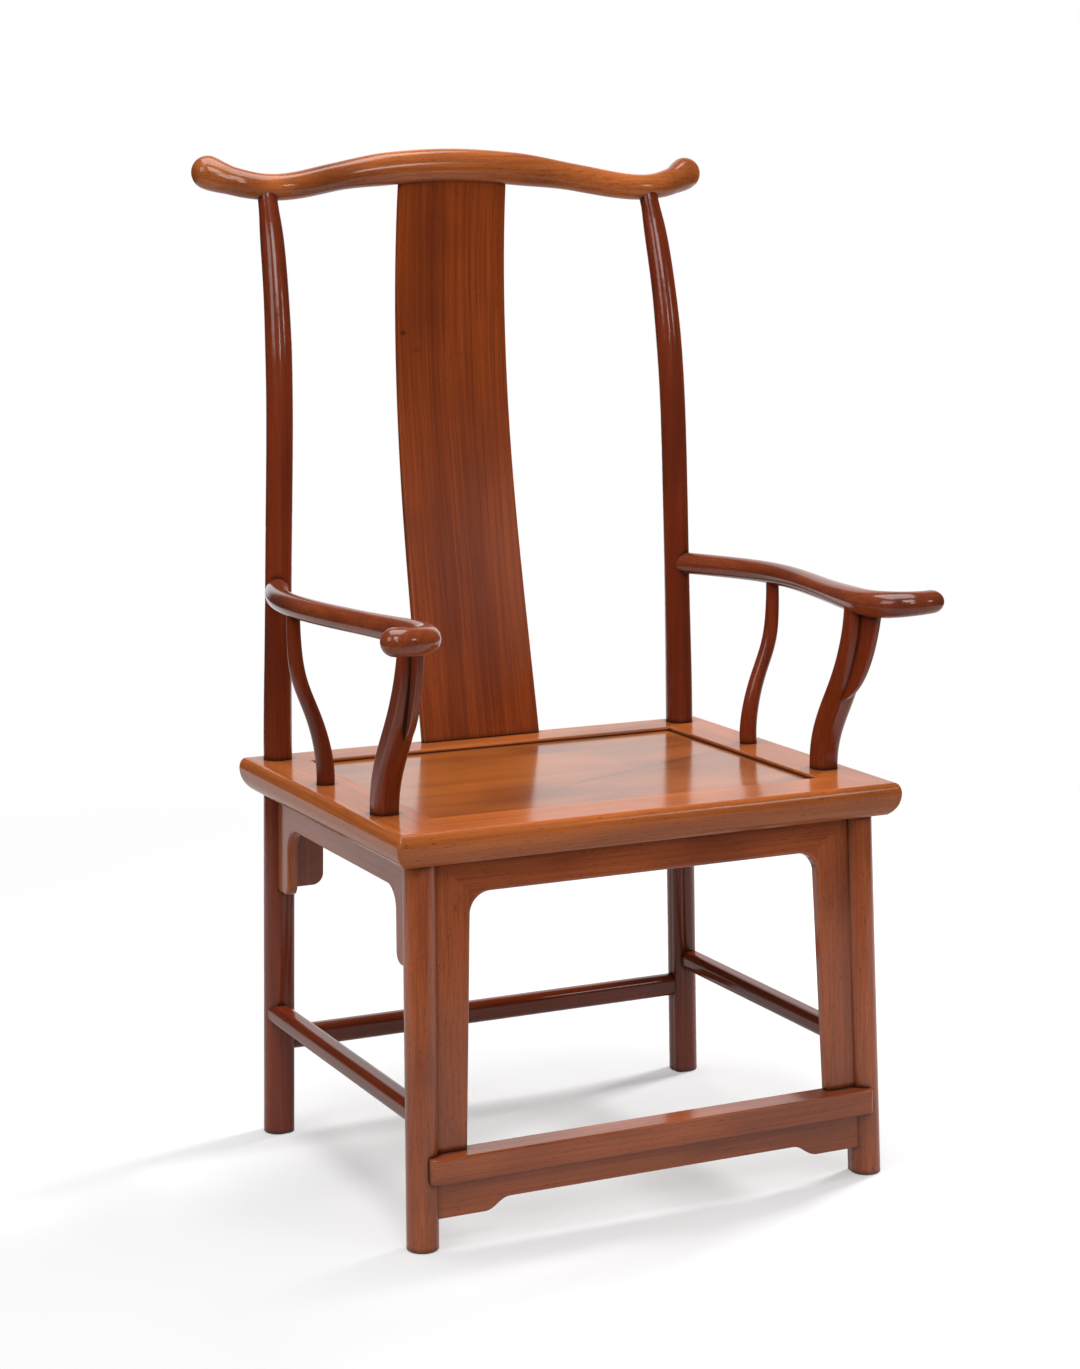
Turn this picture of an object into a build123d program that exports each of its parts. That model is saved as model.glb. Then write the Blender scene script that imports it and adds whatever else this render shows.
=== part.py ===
from build123d import *

import math
import os
from functools import cache

# Official's hat armchair: a solid hardwood chair with a yoke-shaped crest rail,
# S-curved arms, a mitred seat frame around a floating panel, and boxed aprons.
# Millimetres.  X runs from left to right for someone facing the chair, Y from its
# front to its back, and Z is up.  Left and right in names are meant the same way.
# The chair is drawn about the middle of the seat frame and then slid along Y, so
# that the origin lies on the floor under the middle of the whole chair.

# ---------------------------------------------------------------- seat frame
SEAT_WIDTH = 630.0
SEAT_DEPTH = 494.0
SEAT_HEIGHT = 466.0
RAIL_THICK = 38.0
SIDE_RAIL_WIDTH = 72.0
FRONT_RAIL_WIDTH = 73.0
BACK_RAIL_WIDTH = 62.0
EDGE_OVERHANG = 8.0        # how far the rounded edge stands out past the flat top
EDGE_NOSE_DROP = 12.0      # depth of the fullest point of the edge below the top
EDGE_UNDERCUT = 12.0       # how far the edge draws back in at the underside
EDGE_TOP_FULLNESS = 0.1    # how close the top curve runs to a square corner, 0 for square
EDGE_BELLY = 0.35          # share of the lower edge that stays near upright
INNER_ARRIS = 3.0          # rounding of the frame above the panel
CORNER_ROUND = 4.0         # rounding of the frame's four outer corners
MITRE_TONGUE = 12.0        # length of the tongue across each mitre
MITRE_TONGUE_THICK = 10.0
MITRE_TONGUE_MARGIN = 9.0  # wood left between the tongue and the edges of the frame

# ---------------------------------------------------------------- seat panel
PANEL_DROP = 4.5           # step from the frame down to the panel
PANEL_THICK = 14.0
PANEL_TONGUE = 9.0
PANEL_TONGUE_THICK = 6.0
PANEL_TONGUE_LIFT = 3.0    # height of the tongue above the panel's underside
BATTEN_WIDTH = 34.0
BATTEN_THICK = 15.0
BATTEN_DOVETAIL = 5.0      # depth of the dovetail in the panel
BATTEN_FLARE = 3.0         # how much wider the dovetail is at its root, each side
BATTEN_SPACING = 210.0
BATTEN_STUB = 12.0

# ---------------------------------------------------------------- legs
LEG_RADIUS = 18.0
LEG_FLAT = 17.0            # distance from the leg's centre to its two inner faces
LEG_INNER_CORNER = 9.0
LEG_INSET_SIDE = 40.0      # centre of each leg in from the side of the seat
REAR_LEG_INSET = 29.5
FRONT_LEG_INSET = 38.0
SPLAY_SIDE = 8.5           # how far each foot stands out past the top of its leg
SPLAY_FRONT = 19.0
FOOT_CHAMFER = 1.5
LEG_TENON = 18.0
LEG_TENON_HEIGHT = 26.0

# ---------------------------------------------------------------- back
POST_HEIGHT = 660.0        # from the seat to the underside of the crest rail
POST_RADIUS_SEAT = 17.2
POST_RADIUS_MIDDLE = 15.9
POST_RADIUS_SHOULDER = 14.7
POST_RADIUS_TOP = 12.0
POST_LEAN_IN = 19.5
POST_LEAN_POWER = 1.2      # 1 leans evenly, more leans mostly near the top
POST_SWEEP = 49.0          # how far the top of the post curves back
POST_BEND_START = 0.5      # the post is straight below this share of its height
POST_BEND_POWER = 2.6
POST_TIP_SHARE = 0.96      # the post is taken as straight above this share
POST_STATIONS = [0.0, 0.16, 0.36, 0.5, 0.6, 0.7, 0.8, 0.88, 0.95, 1.0, 1.02]
POST_SWELL = (0.06, 0.35, 0.72, 0.88)  # even at the seat, middle from and to, shoulder
POST_TENON_RADIUS = 7.0
POST_TENON_LENGTH = 19.0   # above the top of the post
POST_TENON_ROOT = 22.0     # below it, inside the post
POST_RING_SPACING = 44.0   # from one drawn section of the post to the next

SPLAT_WIDTH_FOOT = 160.0
SPLAT_WIDTH_TOP = 143.0
SPLAT_THICK = 9.5
SPLAT_INSET = 16.0         # splat's middle in from the back of the seat
SPLAT_BOW = [(0.22, 33.5), (0.49, 68.5), (0.70, 81.5)]   # (share of height, set-back)
SPLAT_TOP_SETBACK = 70.0
SPLAT_TONGUE = 12.0
SPLAT_TONGUE_THICK = 6.5
SPLAT_EDGE = 3.0
SPLAT_STEPS = 24

CREST_HALF_LENGTH = 320.0  # to the centre of each rounded end
CREST_RISE = 18.0          # middle of the crest above the top of the posts
CREST_CENTRE_RISE = 26.5
CREST_TIP_RISE = 17.0
CREST_SET_BACK = 6.0       # crest behind the post where they join
CREST_BOW = 32.0           # middle of the crest behind that
CREST_TIP_SWEEP = 21.0
CREST_HALF_HEIGHT = [20.3, 20.0, 16.8, 15.7, 16.6, 20.0]
CREST_HALF_DEPTH = [17.0, 16.8, 15.6, 15.2, 16.4, 20.0]
CREST_SHARE = [0.0, 0.25, 0.5, 0.8, 0.9, 1.0]   # where those are, from middle to tip
CREST_CURVE = [(0.0, 1.0, 1.0), (0.33, 0.9, 0.84), (0.66, 0.52, 0.4), (1.0, 0.0, 0.0)]
CREST_TIP_CURVE = (0.55, 0.36)  # share of the way out, share of the tip's sweep and rise
CREST_SECTIONS = 25

# ---------------------------------------------------------------- arms
ARM_HEIGHT = 208.5         # arm's centre above the seat
ARM_RADIUS_REAR = 13.5
ARM_RADIUS_MIDDLE = 13.3
ARM_RADIUS_TIP = 15.8
ARM_TIP_OUT = 51.5         # tip beyond the front post, sideways
ARM_TIP_FORWARD = 77.0
ARM_REAR_DROP = 2.0        # arm's rear end below its middle
ARM_TIP_RISE = 4.0
ARM_REAR_CURVE = (0.44, 0.27)   # bend between the rear post and the slender post
ARM_FRONT_CURVE = (0.36, 0.48)  # bend between the slender post and the gooseneck
ARM_TIP_CURVE = [(0.05, 0.62, 0.2), (0.45, 0.94, 0.75)]   # shares outward, forward and up
ARM_SWELL = (0.35, 0.6, 0.95)   # slender from and to, full thickness of the tip
ARM_RING_SPACING = 27.0
ARM_TENON_RADIUS = 6.0
ARM_TENON_LENGTH = 13.0
ARM_TENON_ROOT = 26.0      # from the middle of the rear post into the arm
FRONT_POST_INSET_SIDE = 34.5
FRONT_POST_INSET_FRONT = 119.0
FRONT_POST_SIZE = 29.0
FRONT_POST_SIZE_TOP = 26.0
FRONT_POST_SWELL = 1.5     # extra thickness halfway up
FRONT_POST_CORNER = 9.0
FRONT_POST_REACH = 72.0    # how far the gooseneck curves forward
FRONT_POST_LEAN_IN = 3.0
FRONT_POST_CURVE = [(0.0, 0.0), (0.2, 0.1), (0.5, 0.59), (0.8, 0.94), (1.0, 1.0)]
FRONT_POST_SECTIONS = 11
SIDE_POST_INSET = 35.0
SIDE_POST_FROM_BACK = 198.5
SIDE_POST_RADIUS = 10.6
SIDE_POST_RADIUS_TOP = 7.8
SIDE_POST_REACH = 34.0     # how far the slender post swells outward
SIDE_POST_LEAN_BACK = 4.0
SIDE_POST_CURVE = [(0.0, 0.0), (0.18, 0.06), (0.4, 0.42), (0.6, 0.86), (0.78, 1.0), (1.0, 1.0)]
SIDE_POST_TAPER = [(0.0, 0.0), (0.45, 0.42), (1.0, 1.0)]
SIDE_POST_SECTIONS = 13
STUB_RADIUS = 5.0          # round tenons of the slender post
STUB_LENGTH = 8.0
FOOT_STUB_LENGTH = 20.0
BRACKET_THICK = 8.0
BRACKET_EDGE = 2.5         # rounding of its two free edges
BRACKET_DEPTH = 28.0
BRACKET_HEIGHT = 120.0
BRACKET_STRAIGHT = 12.5    # upright front edge, from the arm's centre down
BRACKET_TOE = 21.0         # how far the toe reaches behind the top of the gooseneck
BRACKET_CURVE = [(0.08, 0.3), (0.34, 0.86)]    # controls: share of the depth, of the drop
BRACKET_TURN = 7.5         # degrees that the bracket points outward

# ---------------------------------------------------------------- aprons
APRON_HEIGHT = 39.0
APRON_OUTSET = 7.0         # outer face of an apron beyond the centre line of the legs
FRONT_APRON_THICK = 13.0
SIDE_APRON_THICK = 12.0
HOUSING_DEPTH = 5.0        # how far an apron enters each leg
JAMB_WIDTH_FOOT = 35.0
JAMB_WIDTH_TOP = 41.0
DROP_WIDTH = 34.0
REAR_DROP_WIDTH = 39.0
DROP_LENGTH = 122.0
DROP_TIP_ROUND = 14.0
APRON_CORNER = 25.0
APRON_EDGE = 3.5           # rounding of the outer edge along each opening

# ---------------------------------------------------------------- stretchers
FOOTREST_TOP = 106.0
FOOTREST_THICK = 29.0
FOOTREST_DEPTH = 32.0
FOOTREST_PROUD = 27.5      # front of the footrest in front of the leg's centre
FOOTREST_END_ROUND = 7.0
FOOTREST_EDGE = 2.5        # rounding of its front edges
FOOTREST_TENON = 14.0
FOOTREST_TENON_THICK = 14.0
FOOTREST_TENON_HEIGHT = 18.0
FOOTREST_TENON_MARGIN = 1.5    # wood behind the tenon
FOOTREST_APRON_THICK = 11.0
FOOTREST_APRON_OUTSET = 10.0
FOOTREST_APRON_EDGE = 2.0      # rounding of its lower front edge
FOOTREST_APRON_MIDDLE = 31.0   # height of the low apron along its middle
FOOTREST_APRON_END = 44.0      # height at the legs
FOOTREST_APRON_SHOULDER = 53.0 # length of the deeper end, from the leg's centre
FOOTREST_APRON_CURVE = 33.0    # length of the curve between them
FOOTREST_APRON_EASE = 0.45     # share of the curve that each bend takes up
APRON_TONGUE = 5.0
SIDE_STRETCHER_LEVEL = 151.5
SIDE_STRETCHER_WIDTH = 26.0
SIDE_STRETCHER_HEIGHT = 24.0
SIDE_STRETCHER_OUTSET = 3.5    # middle of the bar outside the middle of the legs
REAR_STRETCHER_LEVEL = 117.0
REAR_STRETCHER_WIDTH = 22.0
REAR_STRETCHER_HEIGHT = 28.0
STRETCHER_ROUND = 9.0
STRETCHER_TENON = 13.0
STRETCHER_TENON_THICK = 11.0
STRETCHER_TENON_HEIGHT = 18.0

# ---------------------------------------------------------------- fits
FIT = 0.1                  # gap around a tenon, tongue or housed board
END_GAP = 0.8              # gap at the blind end of a mortise
ROOT = 3.0                 # how far a tenon runs back into its own piece
REACH = 400.0              # longer than any cut needs

# ---------------------------------------------------------------- derived places
HALF_W = SEAT_WIDTH / 2
HALF_D = SEAT_DEPTH / 2
SEAT_BOTTOM = SEAT_HEIGHT - RAIL_THICK
MIDDLE_OF_RAIL = SEAT_BOTTOM + RAIL_THICK / 2
PANEL_TOP = SEAT_HEIGHT - PANEL_DROP
PANEL_BOTTOM = PANEL_TOP - PANEL_THICK
OPEN_X = HALF_W - SIDE_RAIL_WIDTH
OPEN_BACK = HALF_D - BACK_RAIL_WIDTH
OPEN_FRONT = -HALF_D + FRONT_RAIL_WIDTH
LEG_X = HALF_W - LEG_INSET_SIDE
REAR_LEG_Y = HALF_D - REAR_LEG_INSET
FRONT_LEG_Y = -HALF_D + FRONT_LEG_INSET
ARM_LEVEL = SEAT_HEIGHT + ARM_HEIGHT
CREST_LEVEL = SEAT_HEIGHT + POST_HEIGHT + CREST_RISE


# ---------------------------------------------------------------- small tools
def between(a, b, share):
    """Value a share of the way from a to b."""
    return a + (b - a) * share


def blend(stations, share):
    """Smooth value read at a share from (share, value) stations."""
    for (s0, v0), (s1, v1) in zip(stations, stations[1:]):
        if share <= s1:
            t = (share - s0) / (s1 - s0)
            return between(v0, v1, t * t * (3 - 2 * t))
    return stations[-1][1]


def block(x0, x1, y0, y1, z0, z1):
    """Box between two corners."""
    centre = ((x0 + x1) / 2, (y0 + y1) / 2, (z0 + z1) / 2)
    return Pos(*centre) * Box(abs(x1 - x0), abs(y1 - y0), abs(z1 - z0))


def whole(shape):
    """The largest solid of a cut, without loose crumbs."""
    return Part() + max(shape.solids(), key=lambda solid: solid.volume)


def is_curved(edge):
    """Whether an edge is anything but a straight line."""
    return edge.geom_type != GeomType.LINE


def both(piece):
    """A right-hand piece and its mirror image."""
    return piece, mirror(piece, about=Plane.YZ)


def square_to(path, share, up=(0, 0, 1)):
    """Plane square to a path, with its Y axis as near to up as it can be."""
    along = path.tangent_at(share)
    across = Vector(*up).cross(along)
    return Plane(origin=path.position_at(share), x_dir=across, z_dir=along)


def round_bar(path, radii, spacing, up=(0, 0, 1)):
    """Round bar along a path, its radius read from (share, radius) stations."""
    spans = round(path.length / spacing)
    rings = []
    for i in range(spans + 1):
        share = i / spans
        rings.append(square_to(path, share, up) * Circle(blend(radii, share)))
    return loft(rings)


def dome(path, share, radius, outward):
    """Half ball that closes a bar at one end of its path."""
    plane = square_to(path, share)
    if outward < 0:
        plane = Plane(origin=plane.origin, x_dir=plane.x_dir, z_dir=-plane.z_dir)
    seat = (Align.CENTER, Align.CENTER, Align.MIN)
    return plane * Sphere(radius, arc_size1=0, arc_size2=90, align=seat)


def peg(foot, along, radius, length, behind=0.0):
    """Round tenon from a foot point along a direction."""
    axis = Vector(along).normalized()
    start = Vector(foot) - axis * behind
    plane = Plane(origin=start, z_dir=axis)
    return plane * Cylinder(radius, length + behind, align=(Align.CENTER, Align.CENTER, Align.MIN))


# ---------------------------------------------------------------- centre lines
def leg_x(z):
    """Sideways place of a leg's centre at a height."""
    return LEG_X + SPLAY_SIDE * (1 - z / SEAT_BOTTOM)


def front_leg_y(z):
    return FRONT_LEG_Y - SPLAY_FRONT * (1 - z / SEAT_BOTTOM)


def post_point(share):
    """Centre of the right-hand rear post at a share of its height above the seat."""
    bend = max(0.0, (share - POST_BEND_START) / (1 - POST_BEND_START))
    return Vector(
        LEG_X - POST_LEAN_IN * share**POST_LEAN_POWER,
        REAR_LEG_Y + POST_SWEEP * bend**POST_BEND_POWER,
        SEAT_HEIGHT + POST_HEIGHT * share,
    )


def crest_join():
    """Where the crest's centre line passes over the right-hand post."""
    top = post_point(1.0)
    return Vector(top.X, top.Y + CREST_SET_BACK, CREST_LEVEL)


@cache
def crest_path():
    """Centre line of the crest rail, from its left tip to its right tip."""
    join = crest_join()
    half = [(join.X * out, CREST_BOW * bow, CREST_CENTRE_RISE * lift) for out, bow, lift in CREST_CURVE]
    out, turn = CREST_TIP_CURVE
    half.append((between(join.X, CREST_HALF_LENGTH, out), CREST_TIP_SWEEP * turn, CREST_TIP_RISE * turn))
    half.append((CREST_HALF_LENGTH, CREST_TIP_SWEEP, CREST_TIP_RISE))
    points = [(x, join.Y + back, join.Z + up) for x, back, up in half]
    mirrored = [(-x, y, z) for x, y, z in reversed(points[1:])]
    return Spline(*mirrored, *points)


@cache
def front_post_path():
    """Centre line of the right-hand gooseneck, from the seat to the arm."""
    x0 = HALF_W - FRONT_POST_INSET_SIDE
    y0 = -HALF_D + FRONT_POST_INSET_FRONT
    points = []
    for share, reach in FRONT_POST_CURVE:
        x = x0 - FRONT_POST_LEAN_IN * share
        y = y0 - FRONT_POST_REACH * reach
        points.append((x, y, SEAT_HEIGHT + ARM_HEIGHT * share))
    return Spline(*points)


@cache
def side_post_path():
    """Centre line of the right-hand slender post, from the seat to the arm."""
    x0 = HALF_W - SIDE_POST_INSET
    y0 = HALF_D - SIDE_POST_FROM_BACK
    points = []
    for share, reach in SIDE_POST_CURVE:
        x = x0 + SIDE_POST_REACH * reach
        y = y0 + SIDE_POST_LEAN_BACK * share
        points.append((x, y, SEAT_HEIGHT + ARM_HEIGHT * share))
    return Spline(*points)


@cache
def arm_path():
    """Centre line of the right-hand arm, from inside the rear post to its tip."""
    post = post_point(ARM_HEIGHT / POST_HEIGHT)
    side = side_post_path() @ 1
    neck = front_post_path() @ 1
    low = ARM_LEVEL - ARM_REAR_DROP
    rear_x, rear_y = ARM_REAR_CURVE
    front_x, front_y = ARM_FRONT_CURVE
    points = [
        (post.X, post.Y, low),
        (between(post.X, side.X, rear_x), between(post.Y, side.Y, rear_y), low),
        (side.X, side.Y, ARM_LEVEL),
        (between(side.X, neck.X, front_x), between(side.Y, neck.Y, front_y), ARM_LEVEL),
        (neck.X, neck.Y, ARM_LEVEL),
    ]
    for out, forward, rise in ARM_TIP_CURVE + [(1.0, 1.0, 1.0)]:
        x = neck.X + ARM_TIP_OUT * out
        y = neck.Y - ARM_TIP_FORWARD * forward
        points.append((x, y, ARM_LEVEL + ARM_TIP_RISE * rise))
    return Spline(*points)


# ---------------------------------------------------------------- plain shapes
@cache
def crest_body():
    path = crest_path()
    heights = list(zip(CREST_SHARE, CREST_HALF_HEIGHT))
    depths = list(zip(CREST_SHARE, CREST_HALF_DEPTH))
    rings = []
    for i in range(CREST_SECTIONS):
        share = i / (CREST_SECTIONS - 1)
        out = abs(2 * share - 1)
        section = Ellipse(blend(depths, out), blend(heights, out))
        rings.append(square_to(path, share) * section)
    body = loft(rings)
    tip = CREST_HALF_HEIGHT[-1]
    return body + dome(path, 0, tip, -1) + dome(path, 1, tip, 1)


@cache
def post_body():
    """Round upper part of the right-hand rear post, from under the seat into the crest."""
    points = [(LEG_X, REAR_LEG_Y, SEAT_BOTTOM)]
    points += [tuple(post_point(share)) for share in POST_STATIONS]
    path = Spline(*points)
    even, middle_from, middle_to, shoulder = POST_SWELL
    radii = [(0.0, POST_RADIUS_SEAT), (even, POST_RADIUS_SEAT), (middle_from, POST_RADIUS_MIDDLE)]
    radii += [(middle_to, POST_RADIUS_MIDDLE), (shoulder, POST_RADIUS_SHOULDER), (1.0, POST_RADIUS_TOP)]
    return round_bar(path, radii, POST_RING_SPACING, up=(0, -1, 0))


def leg_section(side_y):
    """Leg section: round outside, with two flat faces towards the seat's middle."""
    inner = Pos(-LEG_FLAT / 2, side_y * LEG_FLAT / 2) * Rectangle(LEG_FLAT, LEG_FLAT)
    corner = inner.vertices().sort_by_distance((-LEG_FLAT, side_y * LEG_FLAT, 0))[0]
    return Circle(LEG_RADIUS) + fillet(corner, LEG_INNER_CORNER)


def leg_body(foot_x, foot_y, top_x, top_y, side_y):
    """Splayed leg from the floor to the underside of the seat."""
    along = Vector(top_x - foot_x, top_y - foot_y, SEAT_BOTTOM)
    foot = Pos(foot_x, foot_y, 0) * leg_section(side_y)
    leg = extrude(foot, amount=along.length, dir=along)
    rim = leg.edges().group_by(Axis.Z)[0]
    return chamfer(rim, FOOT_CHAMFER)


@cache
def front_leg_body():
    return leg_body(leg_x(0), front_leg_y(0), LEG_X, FRONT_LEG_Y, 1)


@cache
def rear_leg_body():
    return leg_body(leg_x(0), REAR_LEG_Y, LEG_X, REAR_LEG_Y, -1)


@cache
def arm_body():
    path = arm_path()
    slender_from, slender_to, full = ARM_SWELL
    radii = [(0.0, ARM_RADIUS_REAR), (slender_from, ARM_RADIUS_MIDDLE)]
    radii += [(slender_to, ARM_RADIUS_MIDDLE), (full, ARM_RADIUS_TIP), (1.0, ARM_RADIUS_TIP)]
    return round_bar(path, radii, ARM_RING_SPACING) + dome(path, 1, ARM_RADIUS_TIP, 1)


@cache
def front_post_body():
    path = front_post_path()
    rings = []
    for i in range(FRONT_POST_SECTIONS):
        share = i / (FRONT_POST_SECTIONS - 1)
        swell = FRONT_POST_SWELL * math.sin(math.pi * share)
        size = between(FRONT_POST_SIZE, FRONT_POST_SIZE_TOP, share) + swell
        upright = path.tangent_at(share).Z
        section = RectangleRounded(size, size / upright, FRONT_POST_CORNER)
        point = path.position_at(share)
        rings.append(Pos(point.X, point.Y, point.Z) * section)
    return loft(rings)


@cache
def side_post_body():
    path = side_post_path()
    rings = []
    for i in range(SIDE_POST_SECTIONS):
        share = i / (SIDE_POST_SECTIONS - 1)
        radius = between(SIDE_POST_RADIUS, SIDE_POST_RADIUS_TOP, blend(SIDE_POST_TAPER, share))
        point = path.position_at(share)
        rings.append(Pos(point.X, point.Y, point.Z) * Circle(radius))
    return loft(rings)


# ---------------------------------------------------------------- crest, posts, splat
def post_tenon(fit=0.0):
    """Round tenon on top of the right-hand rear post, inside the crest rail."""
    top = post_point(1.0)
    lean = top - post_point(POST_TIP_SHARE)
    return peg(top, lean, POST_TENON_RADIUS + fit, POST_TENON_LENGTH + fit, POST_TENON_ROOT)


def splat_line():
    """Curve of the splat's middle, seen from the side, as (set-back, height) points."""
    foot_y = HALF_D - SPLAT_INSET
    join = crest_join()
    top = join.Z + CREST_CENTRE_RISE
    rise = top - SEAT_HEIGHT
    points = [(foot_y, SEAT_HEIGHT)]
    points += [(foot_y + back, SEAT_HEIGHT + rise * share) for share, back in SPLAT_BOW]
    points += [(foot_y + SPLAT_TOP_SETBACK, top)]
    return Spline(*[(0, y, z) for y, z in points])


def splat_board(thick, low, high, width_low, width_high):
    """Curved board along the splat's line, cut to a tapered front outline."""
    line = splat_line()
    front = []
    back = []
    for i in range(SPLAT_STEPS + 1):
        share = i / SPLAT_STEPS
        point = line.position_at(share)
        along = line.tangent_at(share)
        off = Vector(0, along.Z, -along.Y) * (thick / 2)
        front.append(tuple(point - off))
        back.append(tuple(point + off))
    ends = [Line(front[0], back[0]), Line(front[-1], back[-1])]
    outline = Wire([Spline(*front), Spline(*back), *ends])
    board = extrude(Face(outline), amount=REACH, dir=(1, 0, 0), both=True)
    corners = [(-width_low / 2, low), (width_low / 2, low), (width_high / 2, high), (-width_high / 2, high)]
    shape = Plane.XZ * make_face(Polyline(*corners, close=True))
    return board & extrude(shape, amount=2 * REACH, both=True)


def crest_rail():
    """Yoke-shaped crest rail with sockets for both posts and a slot for the splat."""
    body = crest_body()
    for tenon in both(post_tenon(FIT)):
        body -= tenon
    return whole(body - splat_tongue_top(FIT))


def splat_tongue_top(fit=0.0):
    """Tongue of the splat inside the crest rail."""
    middle = crest_join().Z + CREST_CENTRE_RISE - CREST_HALF_HEIGHT[0]
    half = SPLAT_WIDTH_TOP / 2 - SPLAT_EDGE + fit
    y = HALF_D - SPLAT_INSET + SPLAT_TOP_SETBACK
    wall = SPLAT_TONGUE_THICK / 2 + fit
    low = middle - 2 * SPLAT_TONGUE
    return block(-half, half, y - wall, y + wall, low, middle + SPLAT_TONGUE + fit)


def splat_tongue_foot(fit=0.0):
    """Tongue of the splat inside the back rail."""
    half = SPLAT_WIDTH_FOOT / 2 - SPLAT_EDGE + fit
    y = HALF_D - SPLAT_INSET
    wall = SPLAT_TONGUE_THICK / 2 + fit
    low = SEAT_HEIGHT - SPLAT_TONGUE - fit
    return block(-half, half, y - wall, y + wall, low, SEAT_HEIGHT + SPLAT_EDGE)


def back_splat():
    """Bowed back splat, tongued into the crest rail and the back rail."""
    top = crest_join().Z + CREST_CENTRE_RISE
    board = splat_board(SPLAT_THICK, SEAT_HEIGHT, top, SPLAT_WIDTH_FOOT, SPLAT_WIDTH_TOP)
    long_edges = board.edges().filter_by(lambda edge: edge.length > POST_HEIGHT)
    board = fillet(long_edges, SPLAT_EDGE)
    seat = block(-REACH, REACH, -REACH, REACH, 0, SEAT_HEIGHT)
    board = whole(board - crest_body() - seat)
    core = splat_board(SPLAT_TONGUE_THICK, SEAT_HEIGHT, top, SPLAT_WIDTH_TOP, SPLAT_WIDTH_TOP)
    return whole(board + (splat_tongue_top() & core) + splat_tongue_foot())


def rear_post():
    """Rear leg and back post in one piece, from the floor into the crest rail."""
    post = post_body() - crest_body()
    piece = whole(post) + rear_leg_body() + post_tenon()
    for cut in apron_housings() + [arm_rear_tenon(FIT)]:
        piece -= cut
    for cut in side_stretcher_tenons(FIT) + rear_stretcher_tenons(FIT):
        piece -= cut
    return whole(piece)


# ---------------------------------------------------------------- arms and their posts
def arm_rear_tenon(fit=0.0):
    """Round tenon from the middle of the rear post into the arm."""
    path = arm_path()
    return peg(path @ 0, path.tangent_at(0), ARM_TENON_RADIUS + fit, ARM_TENON_ROOT, fit)


def neck_head(fit=0.0):
    """Round tenon of the gooseneck inside the arm."""
    top = front_post_path() @ 1
    foot = (top.X, top.Y, top.Z - ARM_RADIUS_MIDDLE)
    return peg(foot, (0, 0, 1), ARM_TENON_RADIUS + fit, ARM_TENON_LENGTH + fit, STUB_LENGTH)


def neck_foot(fit=0.0):
    """Round tenon of the gooseneck inside the seat frame."""
    foot = front_post_path() @ 0
    return peg(foot, (0, 0, -1), ARM_TENON_RADIUS + fit, FOOT_STUB_LENGTH + fit, ROOT)


def side_head(fit=0.0):
    """Round tenon of the slender post inside the arm."""
    top = side_post_path() @ 1
    foot = (top.X, top.Y, top.Z - ARM_RADIUS_MIDDLE)
    return peg(foot, (0, 0, 1), STUB_RADIUS + fit, STUB_LENGTH + fit, STUB_LENGTH / 2)


def side_foot(fit=0.0):
    """Round tenon of the slender post inside the seat frame."""
    foot = side_post_path() @ 0
    return peg(foot, (0, 0, -1), STUB_RADIUS + fit, FOOT_STUB_LENGTH + fit, ROOT)


def armrest():
    """S-curved arm: coped and tenoned into the rear post, turned out at its tip."""
    body = whole(arm_body() - post_body())
    body += arm_rear_tenon()
    return whole(body - neck_head(FIT) - side_head(FIT))


def arm_front_post():
    """Gooseneck between the seat and the arm."""
    body = whole(front_post_body() - arm_body())
    return whole(body + neck_head() + neck_foot())


def arm_side_post():
    """Slender tapered post that swells outward between the seat and the arm."""
    body = whole(side_post_body() - arm_body())
    return whole(body + side_head() + side_foot())


def arm_bracket():
    """Small shaped bracket in the corner between gooseneck and arm."""
    neck = front_post_path() @ 1
    inside = (0, neck.Y + FRONT_POST_SIZE)
    front = neck.Y - FRONT_POST_SIZE_TOP / 2 - BRACKET_DEPTH
    belly = ARM_LEVEL - BRACKET_STRAIGHT
    low = ARM_LEVEL - BRACKET_HEIGHT
    toe = neck.Y + BRACKET_TOE
    controls = [(0, between(front, toe, y), between(belly, low, z)) for y, z in BRACKET_CURVE]
    edge = [
        Line((0, neck.Y, ARM_LEVEL), (0, front, ARM_LEVEL)),
        Line((0, front, ARM_LEVEL), (0, front, belly)),
        Bezier((0, front, belly), *controls, (0, toe, low)),
        Line((0, toe, low), (*inside, low)),
        Line((*inside, low), (0, neck.Y, ARM_LEVEL)),
    ]
    board = extrude(Face(Wire(edge)), amount=BRACKET_THICK / 2, dir=(1, 0, 0), both=True)

    def free(line):
        spot = line.center()
        return abs(spot.X) > FIT and (spot.Y < front + FIT or is_curved(line))

    board = fillet(board.edges().filter_by(free), BRACKET_EDGE)
    turned = Pos(neck.X, neck.Y, 0) * Rot(0, 0, BRACKET_TURN) * Pos(0, -neck.Y, 0) * board
    return whole(turned - front_post_body() - arm_body())


# ---------------------------------------------------------------- seat frame
def edge_profile(half):
    """Half outline of the frame's rounded edge, as curves from the top to the underside."""
    top = (half - EDGE_OVERHANG, SEAT_HEIGHT)
    nose = (half, SEAT_HEIGHT - EDGE_NOSE_DROP)
    low = (half - EDGE_UNDERCUT, SEAT_BOTTOM)
    above = EDGE_OVERHANG * EDGE_TOP_FULLNESS
    above = (half - above, SEAT_HEIGHT - above)
    below = (half, SEAT_BOTTOM + (RAIL_THICK - EDGE_NOSE_DROP) * EDGE_BELLY)
    return [Bezier(top, above, nose), Bezier(nose, below, low)]


def slab(plane, half):
    """Solid with the rounded edge profile on two opposite sides."""
    right = edge_profile(half)
    left = [mirror(curve, about=Plane.YZ) for curve in right]
    top = Line(left[0] @ 0, right[0] @ 0)
    low = Line(left[1] @ 1, right[1] @ 1)
    face = make_face([*right, *left, top, low])
    return extrude(plane * face, amount=REACH, both=True)


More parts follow.
